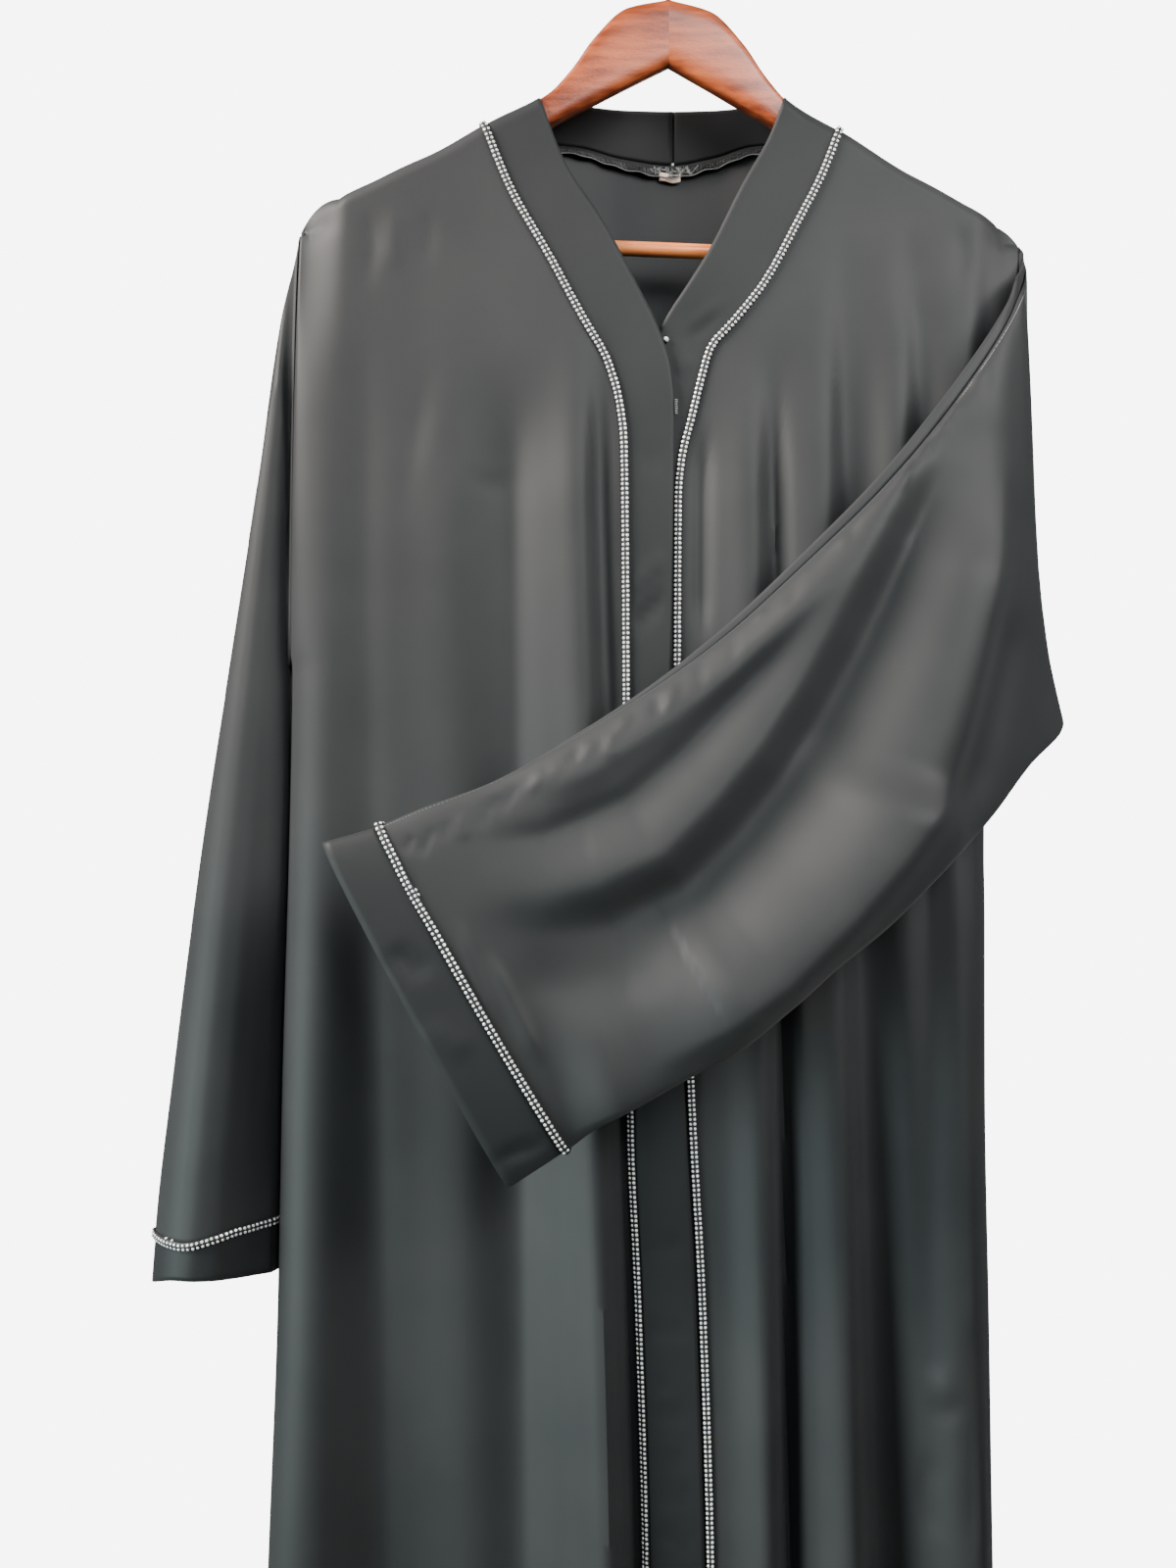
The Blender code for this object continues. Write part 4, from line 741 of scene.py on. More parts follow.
def back_rows():
    """Rows of points of the back, from the right side edge to the left."""
    top = back_top()
    rows = []
    for share in body_shares("right"):
        right_z = mix(top[0].z, HEM_Z, share)
        left_z = mix(top[-1].z, HEM_Z, share)
        right = body_edge("right", right_z) + (SEAM_GAP if right_z > ARMHOLES["right"].low_z else 0)
        left = body_edge("left", left_z) - (SEAM_GAP if left_z > ARMHOLES["left"].low_z else 0)
        row = []
        for start in top:
            z = mix(start.z, HEM_Z, share)
            x = mix(right, left, (start.x - top[0].x) / (top[-1].x - top[0].x))
            row.append(start if share == 0.0 and start.y > 0.0 else back_point(x, z))
        rows.append(row)
    return rows


# ---------------------------------------------------------------- listed folds
def crease_height(creases, x, z):
    """Sum of the creases at a place: each runs along its points and fades at both ends."""
    total = 0.0
    for crease in creases:
        reach = 2.4 * max(crease.before, crease.after)
        xs, zs = crease.xs, crease.zs
        if not (min(xs) - reach < x < max(xs) + reach
                and min(zs) - reach < z < max(zs) + reach):
            continue
        best, side, along = 1e9, 1.0, 0.0
        spans = len(xs) - 1
        for i in range(spans):
            dx, dz = xs[i + 1] - xs[i], zs[i + 1] - zs[i]
            t = ((x - xs[i]) * dx + (z - zs[i]) * dz) / (dx * dx + dz * dz)
            t = min(max(t, 0.0), 1.0)
            ax, az = x - xs[i] - dx * t, z - zs[i] - dz * t
            away = math.hypot(ax, az)
            if away < best:
                best, along = away, (i + t) / spans
                side = dx * az - dz * ax
        width = crease.before if side > 0.0 else crease.after
        fade = ease(along / crease.fade) * ease((1.0 - along) / crease.fade) if crease.fade else 1.0
        total += crease.height * fade * math.exp(-(best / width) ** 2)
    return total


# ---------------------------------------------------------------- sleeves
def sleeve_point(side, half, share, around):
    """A point of a sleeve: share of its length, and 0 to 1 from the upper to the lower seam."""
    row = read_table(SLEEVE_ROWS[side], share)
    top = Vector((row.top_x, row.top_y, row.top_z))
    low = Vector((row.low_x, row.low_y, row.low_z))
    turn = math.radians(row.turn)
    way = Vector((math.cos(turn), math.sin(turn), 0.0))
    down = (1.0 - math.cos(math.pi * around)) / 2
    point = top.lerp(low, down)
    point.x = mix(top.x, low.x, down ** row.bend)
    stand = math.sin(math.pi * around) ** SECTION_POWER
    if half == "front":
        peak = around / ROLL_PEAK
        point += (top - low).normalized() * row.roll * peak * math.exp(1.0 - peak)
        point -= way * (LIP + row.front * stand)
        if side == "right" and point.z < ARMHOLES[side].low_z:
            inward = SIDE_CLEAR_SLOPE * max(point.y - SIDE_CLEAR_DEPTH, 0.0)
            point.x = min(point.x, body_edge(side, point.z) - SIDE_CLEAR + inward)
        return point
    return point + way * (LIP + row.back * stand)


def hang_depth(x, z):
    """Share of the way across the hanging sleeve's front, and how far off the plane it stands."""
    low, high = read_table(HANG_EDGE, z).x, body_edge("right", z)
    across = (x - low) / (high - low)
    rise = read_table(HANG_SHAPE, min(max(across, 0.0), 1.0)).rise
    steep = mix(0.22, 0.40, min(max((-0.30 - z) / 0.5, 0.0), 1.0))
    return across, 0.010 * max((-0.45 - z) / 0.45, 0.0) + steep * (high - low) * rise


def cuff_sag(half, share, around):
    """How far the hanging sleeve's end drops below the solid's."""
    row = read_table(CUFF_SAG, around)
    seam, hem = row.seam, row.hem
    if half == "back":
        ends = CUFF_SAG[0], CUFF_SAG[-1]
        seam, hem = mix(ends[0].seam, ends[1].seam, around), mix(ends[0].hem, ends[1].hem, around)
    if share > 1.0:
        return mix(seam, hem, (share - 1.0) / 0.05)
    return seam * ease((share - 0.5) / 0.5)


def sleeve_section(side, half, share):
    """One ring of a sleeve half. The hanging sleeve's front is turned to face away from the body."""
    row = [sleeve_point(side, half, share, around) for around in SECTION_COLUMNS]
    if side == "left":
        return row
    if half == "front":
        seen = [(point.x - CAMERA_X) / (1.0 + point.y) for point in row]
        outer = seen.index(min(seen))
        for index in range(outer, len(row)):
            point = row[index]
            across, depth = hang_depth(point.x, point.z)
            amount = ease((-0.25 - point.z) / 0.09) * ease((1.06 - across) / 0.22)
            y = mix(point.y, -depth, amount)
            x = CAMERA_X + (point.x - CAMERA_X) * (1.0 + y) / (1.0 + point.y)
            row[index] = Vector((x, y, point.z))
        first, last = row[0], row[outer]
        for index in range(1, outer):
            turn = math.pi / 2 * index / outer
            row[index] = Vector((mix(first.x, last.x, math.sin(turn)),
                                 mix(first.y, last.y, 1.0 - math.cos(turn)), row[index].z))
    for point, around in zip(row, SECTION_COLUMNS):
        point.z -= cuff_sag(half, share, around)
    return row


def sleeve_rows(side, half, shares):
    return [sleeve_section(side, half, share) for share in shares]


# ---------------------------------------------------------------- meshes
def add_item(name, data, material, node=None):
    """An object that rides on the body and may stand for a CAD node."""
    data.materials.append(material)
    item = bpy.data.objects.new(name, data)
    bpy.context.scene.collection.objects.link(item)
    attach(item, "root")
    if node:
        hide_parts(node)
    return item


def add_mesh(name, bm, material, node=None, wall=0.0):
    """A smooth mesh, with a wall's thickness where it is a sheet."""
    mesh = bpy.data.meshes.new(name)
    bm.to_mesh(mesh)
    bm.free()
    mesh.shade_smooth()
    mesh.set_sharp_from_angle(angle=SHARP_FROM)
    item = add_item(name, mesh, material, node)
    if wall:
        modifier = item.modifiers.new("wall", "SOLIDIFY")
        modifier.thickness = wall
        modifier.offset = 0.0


def grid_mesh(points):
    """A mesh of quads through rows of points."""
    bm = bmesh.new()
    rows = [[bm.verts.new(point) for point in row] for row in points]
    for upper, lower in zip(rows, rows[1:]):
        for i in range(len(upper) - 1):
            bm.faces.new((upper[i], lower[i], lower[i + 1], upper[i + 1]))
    return bm


def ring_mesh(rings):
    """Loft closed rings of points and close both ends."""
    bm = bmesh.new()
    loops = [[bm.verts.new(point) for point in ring] for ring in rings]
    count = len(rings[0])
    for before, after in zip(loops, loops[1:]):
        for i in range(count):
            j = (i + 1) % count
            bm.faces.new((before[i], before[j], after[j], after[i]))
    bm.faces.new(loops[0][::-1])
    bm.faces.new(loops[-1])
    bmesh.ops.recalc_face_normals(bm, faces=bm.faces)
    return bm


def add_cloth(node, points, material, thickness=WALL):
    """A wall of cloth through rows of points, standing for a CAD node."""
    add_mesh(f"crepe_{node}", grid_mesh(points), material, node, thickness)


def add_curve(name, runs, radius, material, node=None, roundness=1):
    """Round threads or rods, each through its own points."""
    curve = bpy.data.curves.new(name, "CURVE")
    curve.dimensions = "3D"
    for run in runs:
        spline = curve.splines.new("POLY")
        spline.points.add(len(run) - 1)
        for spot, point in zip(spline.points, run):
            spot.co = (*point, 1.0)
    curve.bevel_depth = radius
    curve.bevel_resolution = roundness
    curve.use_fill_caps = True
    add_item(name, curve, material, node)


# ---------------------------------------------------------------- materials
def set_inputs(node, inputs):
    """Constants on a node's sockets."""
    for socket, value in inputs.items():
        node.inputs[socket].default_value = value
    return node


def new_material(name, inputs):
    """A material, its node tree and shader, and the place on the object."""
    material = bpy.data.materials.new(name)
    material.use_nodes = True
    tree = material.node_tree
    shader = set_inputs(tree.nodes["Principled BSDF"], inputs)
    return material, tree, shader, tree.nodes.new("ShaderNodeTexCoord").outputs["Object"]


def add_noise(tree, place, scale, detail=2.0, stretch=(1, 1, 1), turn=(0, 0, 0)):
    mapping = set_inputs(tree.nodes.new("ShaderNodeMapping"), {"Scale": stretch, "Rotation": turn})
    texture = set_inputs(tree.nodes.new("ShaderNodeTexNoise"), {"Scale": scale, "Detail": detail})
    tree.links.new(place, mapping.inputs["Vector"])
    tree.links.new(mapping.outputs["Vector"], texture.inputs["Vector"])
    return texture.outputs["Fac"]


def add_colour(tree, shader, value, stops):
    """Base colour from colours at places along a value."""
    ramp = tree.nodes.new("ShaderNodeValToRGB")
    while len(ramp.color_ramp.elements) < len(stops):
        ramp.color_ramp.elements.new(0.5)
    for element, (position, colour) in zip(ramp.color_ramp.elements, stops):
        element.position = position
        element.color = (*colour, 1.0)
    tree.links.new(value, ramp.inputs["Fac"])
    tree.links.new(ramp.outputs["Color"], shader.inputs["Base Color"])


def add_bump(tree, shader, value, strength, distance=FINE_GRAIN):
    bump = set_inputs(tree.nodes.new("ShaderNodeBump"), {"Strength": strength, "Distance": distance})
    tree.links.new(value, bump.inputs["Height"])
    tree.links.new(bump.outputs["Normal"], shader.inputs["Normal"])


def crepe_material(name, deep, pale):
    """Matt crepe, slightly patchy and pebbled."""
    material, tree, shader, place = new_material(name, {
        "Roughness": CREPE_ROUGHNESS, "Specular IOR Level": CREPE_SPECULAR,
        "Sheen Weight": 0.06, "Sheen Roughness": 0.4})
    add_colour(tree, shader, add_noise(tree, place, 14.0, 3.0), ((0.3, deep), (0.7, pale)))
    add_bump(tree, shader, add_noise(tree, place, 1500.0, 2.0, (1.0, 1.0, 0.6)), 0.22)
    return material


def plain_material(name, deep, pale, roughness, scale, metallic=0.0, detail=3.0, relief=0.2):
    """Two tones in a fine grain."""
    inputs = {"Roughness": roughness, "Metallic": metallic}
    material, tree, shader, place = new_material(name, inputs)
    grain = add_noise(tree, place, scale, detail)
    add_colour(tree, shader, grain, ((0.3, deep), (0.7, pale)))
    add_bump(tree, shader, grain, relief)
    return material


def stone_material():
    """Clear stones, each a little different."""
    material, tree, shader, _ = new_material("stones", {
        "Roughness": 0.10, "IOR": 1.8, "Coat Weight": 0.6, "Coat Roughness": 0.03})
    one = tree.nodes.new("ShaderNodeNewGeometry").outputs["Random Per Island"]
    add_colour(tree, shader, one, ((0.0, (0.92, 0.90, 0.80)), (0.35, (0.93, 0.93, 0.90)),
                                   (0.8, (0.86, 0.90, 0.95)), (1.0, (0.95, 0.95, 0.95))))
    return material


def wood_material(name, slope):
    """Reddish varnished wood, its grain along the part and pitted."""
    material, tree, shader, place = new_material(name, {
        "Roughness": 0.34, "Coat Weight": 0.30, "Coat Roughness": 0.14})
    turn = (0.0, math.radians(slope), 0.0)
    if slope:
        stops = ((0.34, (0.10, 0.016, 0.005)), (0.48, (0.25, 0.047, 0.013)),
                 (0.58, (0.39, 0.083, 0.024)), (0.74, (0.53, 0.134, 0.041)))
        grain = add_noise(tree, place, 1.0, 8.0, (30.0, 240.0, 170.0), turn)
        pits = add_noise(tree, place, 1.0, 3.0, (420.0, 1500.0, 1300.0), turn)
        height = 0.0003
    else:
        stops = ((0.3, (0.46, 0.11, 0.028)), (0.5, (0.72, 0.21, 0.060)), (0.75, (0.92, 0.36, 0.13)))
        grain = pits = add_noise(tree, place, 1.0, 6.0, (30.0, 500.0, 500.0))
        height = FINE_GRAIN
    broad = add_noise(tree, place, 1.0, 2.0, (14.0, 60.0, 40.0), turn)
    both = set_inputs(tree.nodes.new("ShaderNodeMath"), {1: 0.62})
    both.operation = "MULTIPLY_ADD"
    shift = set_inputs(tree.nodes.new("ShaderNodeMath"), {1: 0.42})
    shift.operation = "MULTIPLY"
    tree.links.new(grain, both.inputs[0])
    tree.links.new(broad, shift.inputs[0])
    tree.links.new(shift.outputs[0], both.inputs[2])
    add_colour(tree, shader, both.outputs[0], stops)
    add_bump(tree, shader, pits, 0.5, height)
    return material


# ---------------------------------------------------------------- stone-set piping
def piping_frames(rows, outward):
    """Centre, across, normal and distance along for each row of (panel side, seam, band side)."""
    frames = []
    length = 0.0
    for index, (low, centre, high) in enumerate(rows):
        before, after = rows[max(index - 1, 0)][1], rows[min(index + 1, len(rows) - 1)][1]
        along = (after - before).normalized()
        across = (high - low).normalized()
        normal = across.cross(along).normalized()
        if normal.dot(outward(index)) < 0.0:
            normal = -normal
        length += (centre - rows[index - 1][1]).length if index else 0.0
        frames.append((centre, normal.cross(along).normalized(), normal, length))
    return frames


def arch(frame, turn, radius):
    """Place and direction on the piping's arch, turn in degrees from its crest."""
    centre, across, normal, _ = frame
    sine, cosine = math.sin(math.radians(turn)), math.cos(math.radians(turn))
    place = (centre + across * (PIPE_HALF * radius * sine)
             + normal * (PIPE_BASE + PIPE_HIGH * radius * cosine))
    return place, (across * sine / PIPE_HALF + normal * cosine / PIPE_HIGH).normalized()


def frame_at(frames, distance):
    """The frame at a distance along the piping."""
    index = 1
    while index < len(frames) - 1 and frames[index][3] < distance:
        index += 1
    low, high = frames[index - 1], frames[index]
    share = min(max((distance - low[3]) / max(high[3] - low[3], 1e-9), 0.0), 1.0)
    return tuple(low[i].lerp(high[i], share) for i in range(3)) + (distance,)


def add_core(name, frames, material, node):
    """The piping's dark body: an arch over the seam with a flat foot."""
    turns = (-90, -65, -40, -15, 15, 40, 65, 90)
    rings = [[arch(frame, turn, 1.0)[0] for turn in turns] for frame in frames]
    add_mesh(name, ring_mesh(rings), material, node)


def add_stones(name, frames, material, twist, chance):
    """Rows of faceted stones round the arch, which turns a little along its length."""
    points, faces = [], []
    for number in range(int(frames[-1][3] / STONE_PITCH)):
        distance = (number + 0.5) * STONE_PITCH
        frame = frame_at(frames, distance)
        turned = STONE_TURN / 2 + twist(distance)
        for row in (-2, -1, 0, 1, 2):
            angle = turned + STONE_TURN * row + chance.uniform(-2.5, 2.5)
            if abs(angle) > STONE_REACH:
                continue
            place, out = arch(frame, angle, 1.0)
            side = frame[2].cross(frame[1]).cross(out).normalized()
            along = out.cross(side)
            place += along * chance.uniform(-0.00012, 0.00012)
            size = STONE_RADIUS * chance.uniform(0.94, 1.06)
            spin = chance.uniform(0.0, math.tau)
            first = len(points)
            for radius, height in STONE_PROFILE:
                for step in range(STONE_SIDES):
                    turn = spin + math.tau * step / STONE_SIDES
                    offset = (side * (math.cos(turn) * radius) + along * (math.sin(turn) * radius)
                              + out * height)
                    points.append(place + offset * size)
            for ring in range(len(STONE_PROFILE) - 1):
                for step in range(STONE_SIDES):
                    a = first + ring * STONE_SIDES + step
                    b = first + ring * STONE_SIDES + (step + 1) % STONE_SIDES
                    faces.append((a, b, b + STONE_SIDES, a + STONE_SIDES))
            faces.append(tuple(range(first + STONE_SIDES - 1, first - 1, -1)))
            top = first + (len(STONE_PROFILE) - 1) * STONE_SIDES
            faces.append(tuple(range(top, top + STONE_SIDES)))
    mesh = bpy.data.meshes.new(name)
    mesh.from_pydata(points, [], faces)
    add_item(name, mesh, material)


def front_piping_rows(side):
    """Panel side, seam and band side along the band's seam, from the centre back to the hem."""
    band = band_rows(side)
    behind = len(band) - len(body_shares(side))
    front = front_rows(side)
    rows = []
    for index, row in enumerate(band[:behind]):
        seam = row[0]
        rolled = min((behind - index) / len(ROLL_STEPS), 1.0)
        beside = Vector((seam.x - side_step(side) * 0.004, 0.0, seam.z))
        low = back_point(beside.x, min(beside.z, shoulder_z(beside.x)))
        low = low.lerp(back_point(seam.x, seam.z - 0.004), rolled)
        rows.append((low, seam, row[1]))
    for index, row in enumerate(band[behind:]):
        rows.append((front[index][-2], (front[index][-1] + row[0]) / 2, row[1]))
    return rows


def add_pipings(core, stones):
    chance = random.Random(7)
    for side in ("right", "left"):
        rows = front_piping_rows(side)
        frames = piping_frames(rows, lambda index: Vector((0.0, rows[index][1].y, 0.35)))
        add_core(f"piping_front_{side}", frames, core, f"trim_front_{side}")
        add_stones(f"stones_front_{side}", frames, stones, front_twist, chance)
        for half in ("front", "back"):
            rows = cuff_piping_rows(side, half)
            middle = sleeve_point(side, "front", 1.0, 0.5).lerp(sleeve_point(side, "back", 1.0, 0.5), 0.5)
            frames = piping_frames(rows, lambda index: rows[index][1] - middle)
            add_core(f"piping_cuff_{side}_{half}", frames, core, f"trim_cuff_{side}_{half}")
            add_stones(f"stones_cuff_{side}_{half}", frames, stones, cuff_twist, chance)


def front_twist(distance):
    return 7.0 * math.sin(distance * 9.0)


def cuff_twist(distance):
    return -31.0 * math.exp(-((distance - 0.045) / 0.018) ** 2) + 4.0 * math.sin(distance * 40.0)


def cuff_piping_rows(side, half):
    shares = (1.0 - CUFF_TAPE_SHARE, 1.0, 1.0 + CUFF_TAPE_SHARE)
    return list(zip(*[row[1:-1] for row in sleeve_rows(side, half, shares)]))


# ---------------------------------------------------------------- hanger
def add_arm(side, material):
    """One half of the hanger, from the mitred joint to its rounded end."""
    way = -1.0 if side == "right" else 1.0
    rings = []
    outs = refined([0.0003, *ARM_OUTS], 0.003)
    for out in (0.0, *outs):
        row = read_table(ARM_ROWS, out)
        x = way * out
        middle = (row.top + row.low) / 2 - ARM_LEAN * x
        half = (row.top - row.low) / 2
        end = max(out - ARM_END, 0.0) / (ARM_OUTS[-1] - ARM_END)
        thick = ARM_HALF_THICK * (1.0 - ARM_END_THIN * end * end)
        ring = []
        for step in range(48):
            turn = math.tau * step / 48
            cosine, sine = math.cos(turn), math.sin(turn)
            ring.append(Vector((x, thick * math.copysign(abs(cosine) ** WOOD_SECTION, cosine),
                                middle + half * math.copysign(abs(sine) ** WOOD_SECTION, sine))))
        rings.append(ring)
    add_mesh(f"wood_arm_{side}", ring_mesh(rings), material, f"hanger_arm_{side}")


def hook_points():
    """Centre line of the hook: up the shank, round the bend and down to the tip."""
    middle = Vector((0.0, 0.0, WIRE_RADIUS - HOOK_BEND))
    ends = [Vector((0.0, 0.0, ARM_ROWS[0].top - SHANK_DEPTH)), Vector((0.0, 0.0, -0.060)),
            Vector((0.0012, 0.0, -0.0520)), Vector((0.0048, 0.0, -0.0450)),
            Vector((0.0098, 0.0, -0.0390))]
    points = [ends[0], ends[0].lerp(ends[1], 0.6)]
    for before, low, high, after in zip(ends[:1] + ends, ends[:-1], ends[1:], ends[2:] + ends[-1:]):
        for step in range(4):
            t = step / 4
            points.append(0.5 * (2 * low + (high - before) * t
                                 + (2 * before - 5 * low + 4 * high - after) * t * t
                                 + (3 * low - before - 3 * high + after) * t ** 3))
    for step in range(53):
        turn = math.radians(-45.0 + step * 13 * 17.5 / 52)
        points.append(middle + Vector((math.cos(turn), 0.0, math.sin(turn))) * HOOK_BEND)
    return points


def add_hanger(wire):
    add_arm("right", wood_material("hanger_wood_right", 42.0))
    add_arm("left", wood_material("hanger_wood_left", -42.0))
    ends = [Vector((x, 0.0, BAR_Z - ARM_LEAN * x)) for x in (-BAR_HALF, BAR_HALF)]
    wood = wood_material("bar_wood", 0.0)
    add_curve("wood_bar", [ends], BAR_RADIUS, wood, "trouser_bar", 8)
    add_curve("wire_hook", [hook_points()], WIRE_RADIUS, wire, "hanger_hook", 8)


# ---------------------------------------------------------------- inside the neck
def seam_edge_point(x, down):
    """A point of the neck seam's allowance: 0 at the seam, 1 at its free edge."""
    row = read_table(NECK_ROWS, x)
    away = abs(x - NECK_MIDDLE) / 0.09
    deep = mix(0.0100, 0.0045, min(away, 1.0)) + 0.0005 * math.sin(x * 420.0)
    point = back_point(x, row.z - 0.0008 - deep * down)
    point.y -= WALL / 2 + 0.0007 + 0.0030 * down * down + 0.0006 * down * math.sin(x * 300.0)
    return point


def add_neck_seam(thread, band):
    """The seam's allowance with its overlock threads, a few of them loose."""
    places = [mix(*NECK_EDGE, i / 110) for i in range(111)]
    rows = [[seam_edge_point(x, down) for x in places] for down in (0.0, 0.2, 0.4, 0.6, 0.8, 1.0)]
    add_mesh("neck_allowance", grid_mesh(rows), band, "neck_seam_edge",
             ALLOWANCE_WALL)
    chance = random.Random(5)
    zigzag = []
    for number in range(361):
        x = mix(*NECK_EDGE, number / 360) + chance.uniform(-0.0002, 0.0002)
        down = chance.uniform(0.30, 0.42) if number % 2 else chance.uniform(0.98, 1.08)
        zigzag.append(seam_edge_point(x, down))
        zigzag[-1].y -= 0.0006
    edging = []
    for number in range(181):
        edging.append(seam_edge_point(mix(*NECK_EDGE, number / 180), 1.03))
        edging[-1].y -= 0.0005 + (number % 2) * 0.0004
    loose = []
    for _ in range(26):
        x = NECK_MIDDLE + chance.uniform(-0.013, 0.013)
        run = []
        for step in range(4):
            place = x + step * chance.uniform(-0.0016, 0.0016)
            run.append(seam_edge_point(place, chance.uniform(0.1, 0.95)))
            run[-1].y -= 0.0008 + 0.0008 * (step % 2)
        loose.append(run)
    add_curve("neck_overlock", [zigzag, edging, *loose], OVERLOCK, thread)


def add_label(satin):
    """The bare woven label, hanging a little uneven."""
    label = []
    for i in range(9):
        across = mix(-0.0075, 0.0068, i / 8)
        column = []
        for j in range(6):
            down = j / 5
            point = seam_edge_point(NECK_MIDDLE - 0.001 + across, 0.72)
            point.y -= 0.0012 + 0.0010 * math.sin(math.pi * down) * 0.6 + 0.0005 * math.sin(i * 0.9)
            point.z -= 0.0056 * down - 0.0004 * math.sin(i * 0.7)
            column.append(point)
        label.append(column)
    add_mesh("satin_label", grid_mesh(label), satin, "neck_label", LABEL_WALL)


def add_tack(thread):
    """Stitches across the foot of the V."""
    tack = []
    for number in range(9):
        z = -0.3338 - 0.0011 * number
        left = front_point("right", 0.0030, z) - Vector((0.0, STITCH_OUT, 0.0))
        right = front_point("right", 0.0047, z - 0.0004) - Vector((0.0, STITCH_OUT, 0.0))
        tack.append([left, left.lerp(right, 0.5) - Vector((0.0, 0.0003, 0.0)), right])
    add_curve("placket_tack", tack, THREAD, thread)


def add_snap(pearl):
    x, z = SNAP
    place = front_point("left", x, z) - Vector((0.0, WALL / 2 + 0.0006, 0.0))
    turns = [math.tau * i / 24 for i in range(24)]
    rings = [[place + Vector((math.cos(turn) * radius, -height, math.sin(turn) * radius))
              for turn in turns] for radius, height in SNAP_PROFILE]
    add_mesh("pearl_snap", ring_mesh(rings), pearl, "neck_snap")


# ---------------------------------------------------------------- camera, light and floor
def add_light(name, place, aim, size, power, colour, spread):
    data = bpy.data.lights.new(name, "AREA")
    data.shape = "RECTANGLE"
    data.size, data.size_y = size
    data.energy = power
    data.color = colour
    data.spread = math.radians(spread)
    light = bpy.data.objects.new(name, data)
    light.location = place
    light.rotation_mode = "QUATERNION"
    light.rotation_quaternion = (Vector(aim) - Vector(place)).to_track_quat("-Z", "Y")
    bpy.context.scene.collection.objects.link(light)


def add_studio():
    scene = bpy.context.scene
    data = bpy.data.cameras.new("camera")
    data.lens = CAMERA_LENS
    data.sensor_width = 36.0
    camera = bpy.data.objects.new("camera", data)
    camera.location = CAMERA_PLACE
    camera.rotation_euler = (math.pi / 2, 0.0, 0.0)
    scene.collection.objects.link(camera)
    scene.camera = camera
    for light in LIGHTS:
        add_light(*light)
    world = bpy.data.worlds.new("studio")
    scene.world = world
    world.use_nodes = True
    tree = world.node_tree
    fill = set_inputs(tree.nodes["Background"],
                      {"Color": (*FILL_COLOUR, 1.0), "Strength": FILL_STRENGTH})
    backdrop = set_inputs(tree.nodes.new("ShaderNodeBackground"),
                          {"Color": (1.0, 1.0, 1.0, 1.0), "Strength": BACKDROP})
    seen = tree.nodes.new("ShaderNodeLightPath")
    choice = tree.nodes.new("ShaderNodeMixShader")
    tree.links.new(seen.outputs["Is Camera Ray"], choice.inputs["Fac"])
    tree.links.new(fill.outputs["Background"], choice.inputs[1])
    tree.links.new(backdrop.outputs["Background"], choice.inputs[2])
    tree.links.new(choice.outputs["Shader"], tree.nodes["World Output"].inputs["Surface"])
    bm = bmesh.new()
    bmesh.ops.create_circle(bm, cap_ends=True, segments=96, radius=FLOOR_RADIUS)
    bmesh.ops.translate(bm, verts=bm.verts, vec=(0.0, 0.0, FLOOR_Z))
    mesh = bpy.data.meshes.new("floor")
    bm.to_mesh(mesh)
    bm.free()
    pale = plain_material("pale_floor", (0.78, 0.78, 0.77), (0.82, 0.82, 0.81), 0.8, 30.0)
    mesh.materials.append(pale)
    floor = bpy.data.objects.new("floor", mesh)
    scene.collection.objects.link(floor)


# ---------------------------------------------------------------- the garment
def creased(rows, creases, way):
    """Rows of points raised towards the front (1) or the back (-1) by their creases."""
    last = len(rows[0]) - 1
    moved = []
    for row in rows:
        line = []
        for index, point in enumerate(row):
            edge = ease(min(index, last - index) / min(6.0, last / 3))
            line.append(point - Vector((0.0, way * edge * crease_height(creases, point.x, point.z), 0.0)))
        moved.append(line)
    return moved


def puckers():
    """Short creases that pull away from the drawn sleeve's overarm seam."""
    chance = random.Random(23)
    found = []
    for number in range(PUCKERS):
        share = (number + chance.uniform(0.1, 0.9)) / PUCKERS * (len(SEAM_LINE) - 1)
        index = min(int(share), len(SEAM_LINE) - 2)
        (x0, z0), (x1, z1) = SEAM_LINE[index], SEAM_LINE[index + 1]
        x, z = mix(x0, x1, share - index), mix(z0, z1, share - index)
        long = chance.uniform(0.009, 0.024)
        slant = math.radians(chance.uniform(228.0, 272.0))
        high = chance.choice((-1.0, -1.0, 1.0)) * chance.uniform(0.0006, 0.0013)
        found.append(Crease((x, x + long * math.cos(slant)), (z, z + long * math.sin(slant)),
                            0.0026, 0.0038, high, 0.3))
    return found


def shoulder_lap(row):
    """Two rows that carry a front panel over the hanger and onto the back's upper edge."""
    rows = []
    for reach in (1.0, 0.0):
        rows.append([Vector((point.x, (body_depth("back", point.x, point.z) + SHOULDER_LAP) * reach,
                             point.z + WALL * 0.9)) for point in row])
    return rows


def add_body(crepe, band):
    add_cloth("back", back_rows(), crepe)
    for side, creases in (("right", RIGHT_BAND_CREASES), ("left", LEFT_BAND_CREASES)):
        panel = creased(front_rows(side), FRONT_CREASES, 1.0)
        add_cloth(f"front_{side}", shoulder_lap(panel[0]) + panel, crepe)
        add_cloth(f"band_{side}", creased(band_rows(side), creases, 1.0), band, RIM)


def side_seam(side):
    """The sewn line that closes front and back below the armhole."""
    low = ARMHOLES[side].low_z - 0.004
    heights = [mix(low, HEM_Z + 0.0005, number / 160) for number in range(161)]
    return [Vector((body_edge(side, z) + side_step(side) * 0.0006, 0.0, z)) for z in heights]


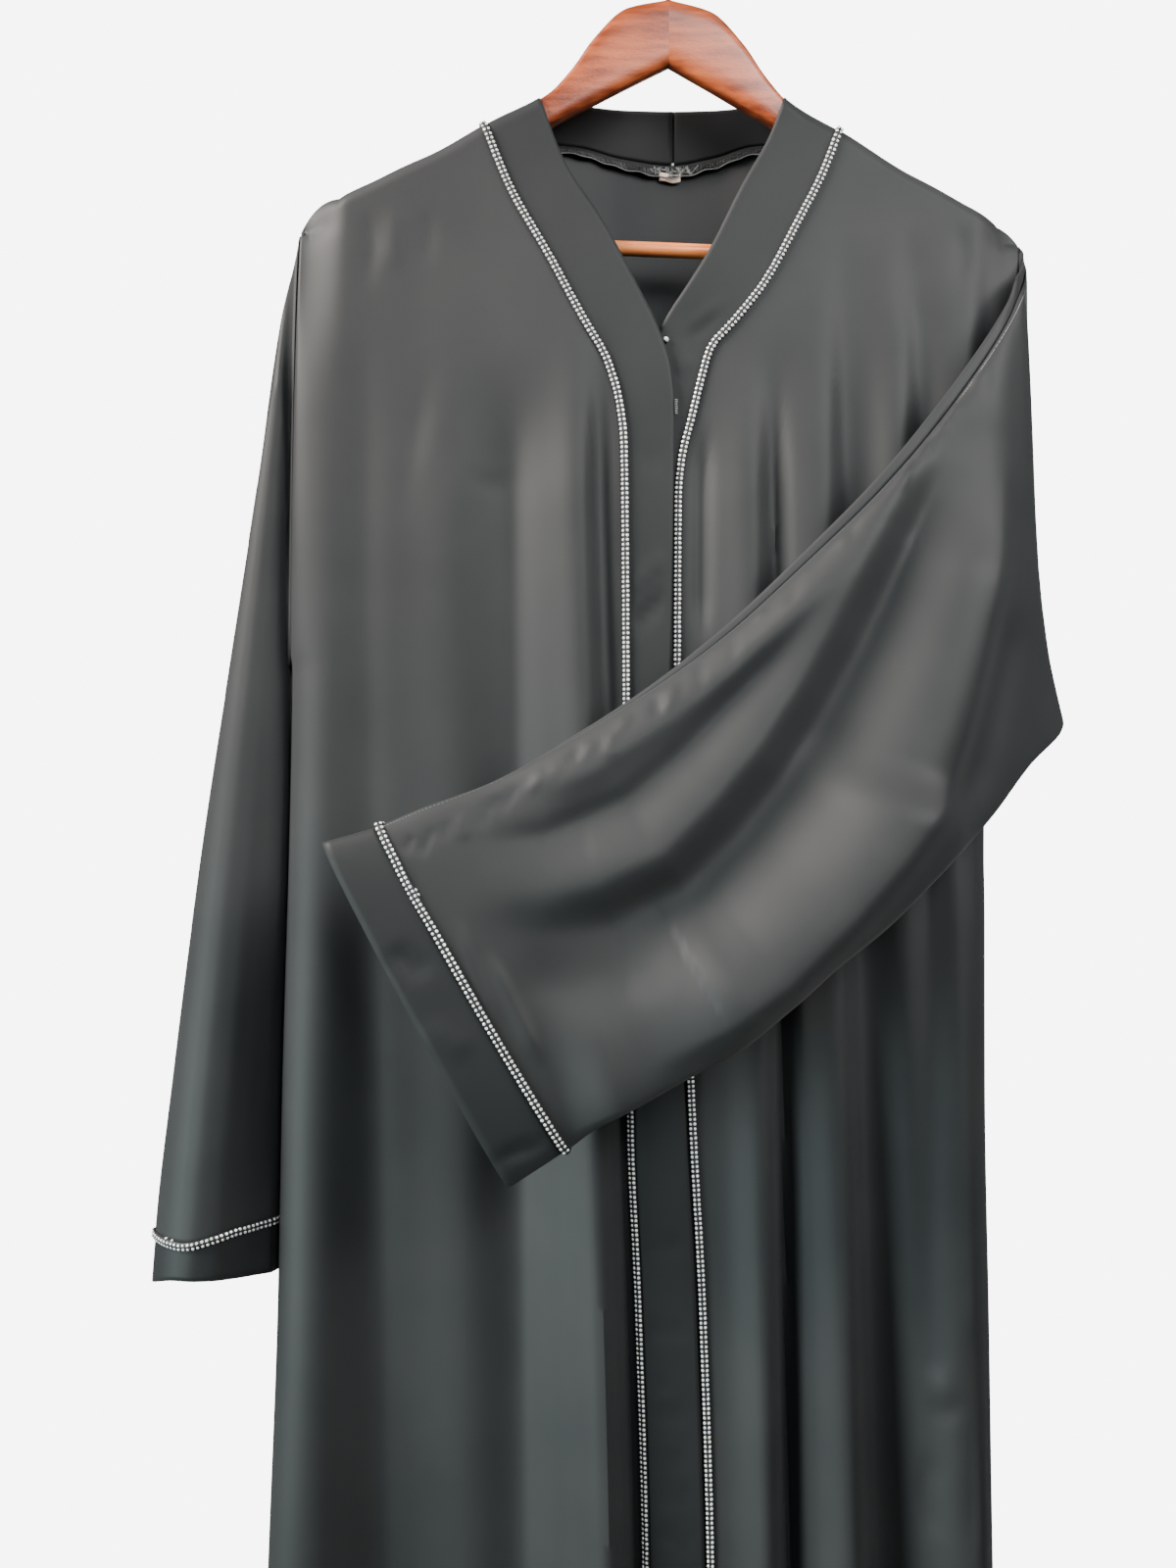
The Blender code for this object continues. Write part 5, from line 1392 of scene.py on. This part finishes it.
def topstitch(rows):
    """Stitches beside the drawn sleeve's overarm seam, on its outer half."""
    line = []
    for row in rows:
        index = next(i for i in range(len(row)) if (row[i] - row[0]).length > STITCH_INSET)
        before, after = (row[index - 1] - row[0]).length, (row[index] - row[0]).length
        line.append(row[index - 1].lerp(row[index], (STITCH_INSET - before) / (after - before)))
    runs = []
    for low, high in zip(line, line[1:]):
        count = max(1, round((high - low).length / STITCH_LENGTH))
        for number in range(count):
            start, end = low.lerp(high, (number + 0.12) / count), low.lerp(high, (number + 0.88) / count)
            middle = (start + end) / 2
            out = Vector((0.0, -WALL / 2, 0.0))
            runs.append([start + out, middle + out * 1.5, end + out])
    return runs[8:]


def add_sleeves(crepe, band, thread):
    for side in ("right", "left"):
        rows = SLEEVE_ROWS[side]
        length = SLEEVE_LENGTHS[side]
        gap = SEAM_GAP / length
        step = (ROW_STEP if side == "right" else PUCKER_STEP) / length
        shares = refined([row.share for row in rows[:-1]], step)
        cuff = refined([1.0 + gap / 2, rows[-1].share], ROW_STEP / length)
        outward = Vector((ARMHOLE_GAP * (-1.0 if side == "right" else 1.0), 0.0, 0.0))
        for half in ("front", "back"):
            points = sleeve_rows(side, half, [*shares[:-1], 1.0 - gap / 2])
            points[0] = [point + outward for point in points[0]]
            ends = sleeve_rows(side, half, cuff)
            if side == "left" and half == "back":
                points = creased(points, [*SLEEVE_CREASES, *puckers()], 1.0)
                ends = creased(ends, CUFF_CREASES, 1.0)
                stitched = points
            add_cloth(f"sleeve_{side}_{half}", points, crepe)
            add_cloth(f"cuff_{side}_{half}", ends, band, RIM)
    add_curve("overarm_topstitch", topstitch(stitched), THREAD, thread)


def main():
    add_studio()
    crepe = crepe_material("black_crepe", (0.0235, 0.0250, 0.0260), (0.0290, 0.0300, 0.0308))
    band = crepe_material("band_crepe", (0.0158, 0.0172, 0.0181), (0.0200, 0.0211, 0.0219))
    thread = plain_material("overlock_thread", (0.14, 0.15, 0.15), (0.30, 0.31, 0.30), 0.8, 1200.0)
    add_body(crepe, band)
    seams = [side_seam("right"), side_seam("left")]
    add_curve("side_seams", seams, 0.0004, crepe)
    add_sleeves(crepe, band, thread)
    dark = plain_material("stone_tape_core", (0.008, 0.009, 0.010), (0.014, 0.015, 0.016), 0.6, 900.0)
    add_pipings(dark, stone_material())
    add_hanger(plain_material("hook_wire", (0.62, 0.62, 0.64), (0.74, 0.74, 0.75), 0.22, 90.0,
                              metallic=1.0, detail=4.0, relief=0.1))
    satin = plain_material("label_satin", (0.78, 0.55, 0.44), (0.90, 0.74, 0.62), 0.45, 400.0)
    pearl = plain_material("pearl", (0.80, 0.79, 0.76), (0.90, 0.90, 0.88), 0.18, 300.0)
    add_neck_seam(thread, band)
    add_label(satin)
    add_tack(thread)
    add_snap(pearl)


main()
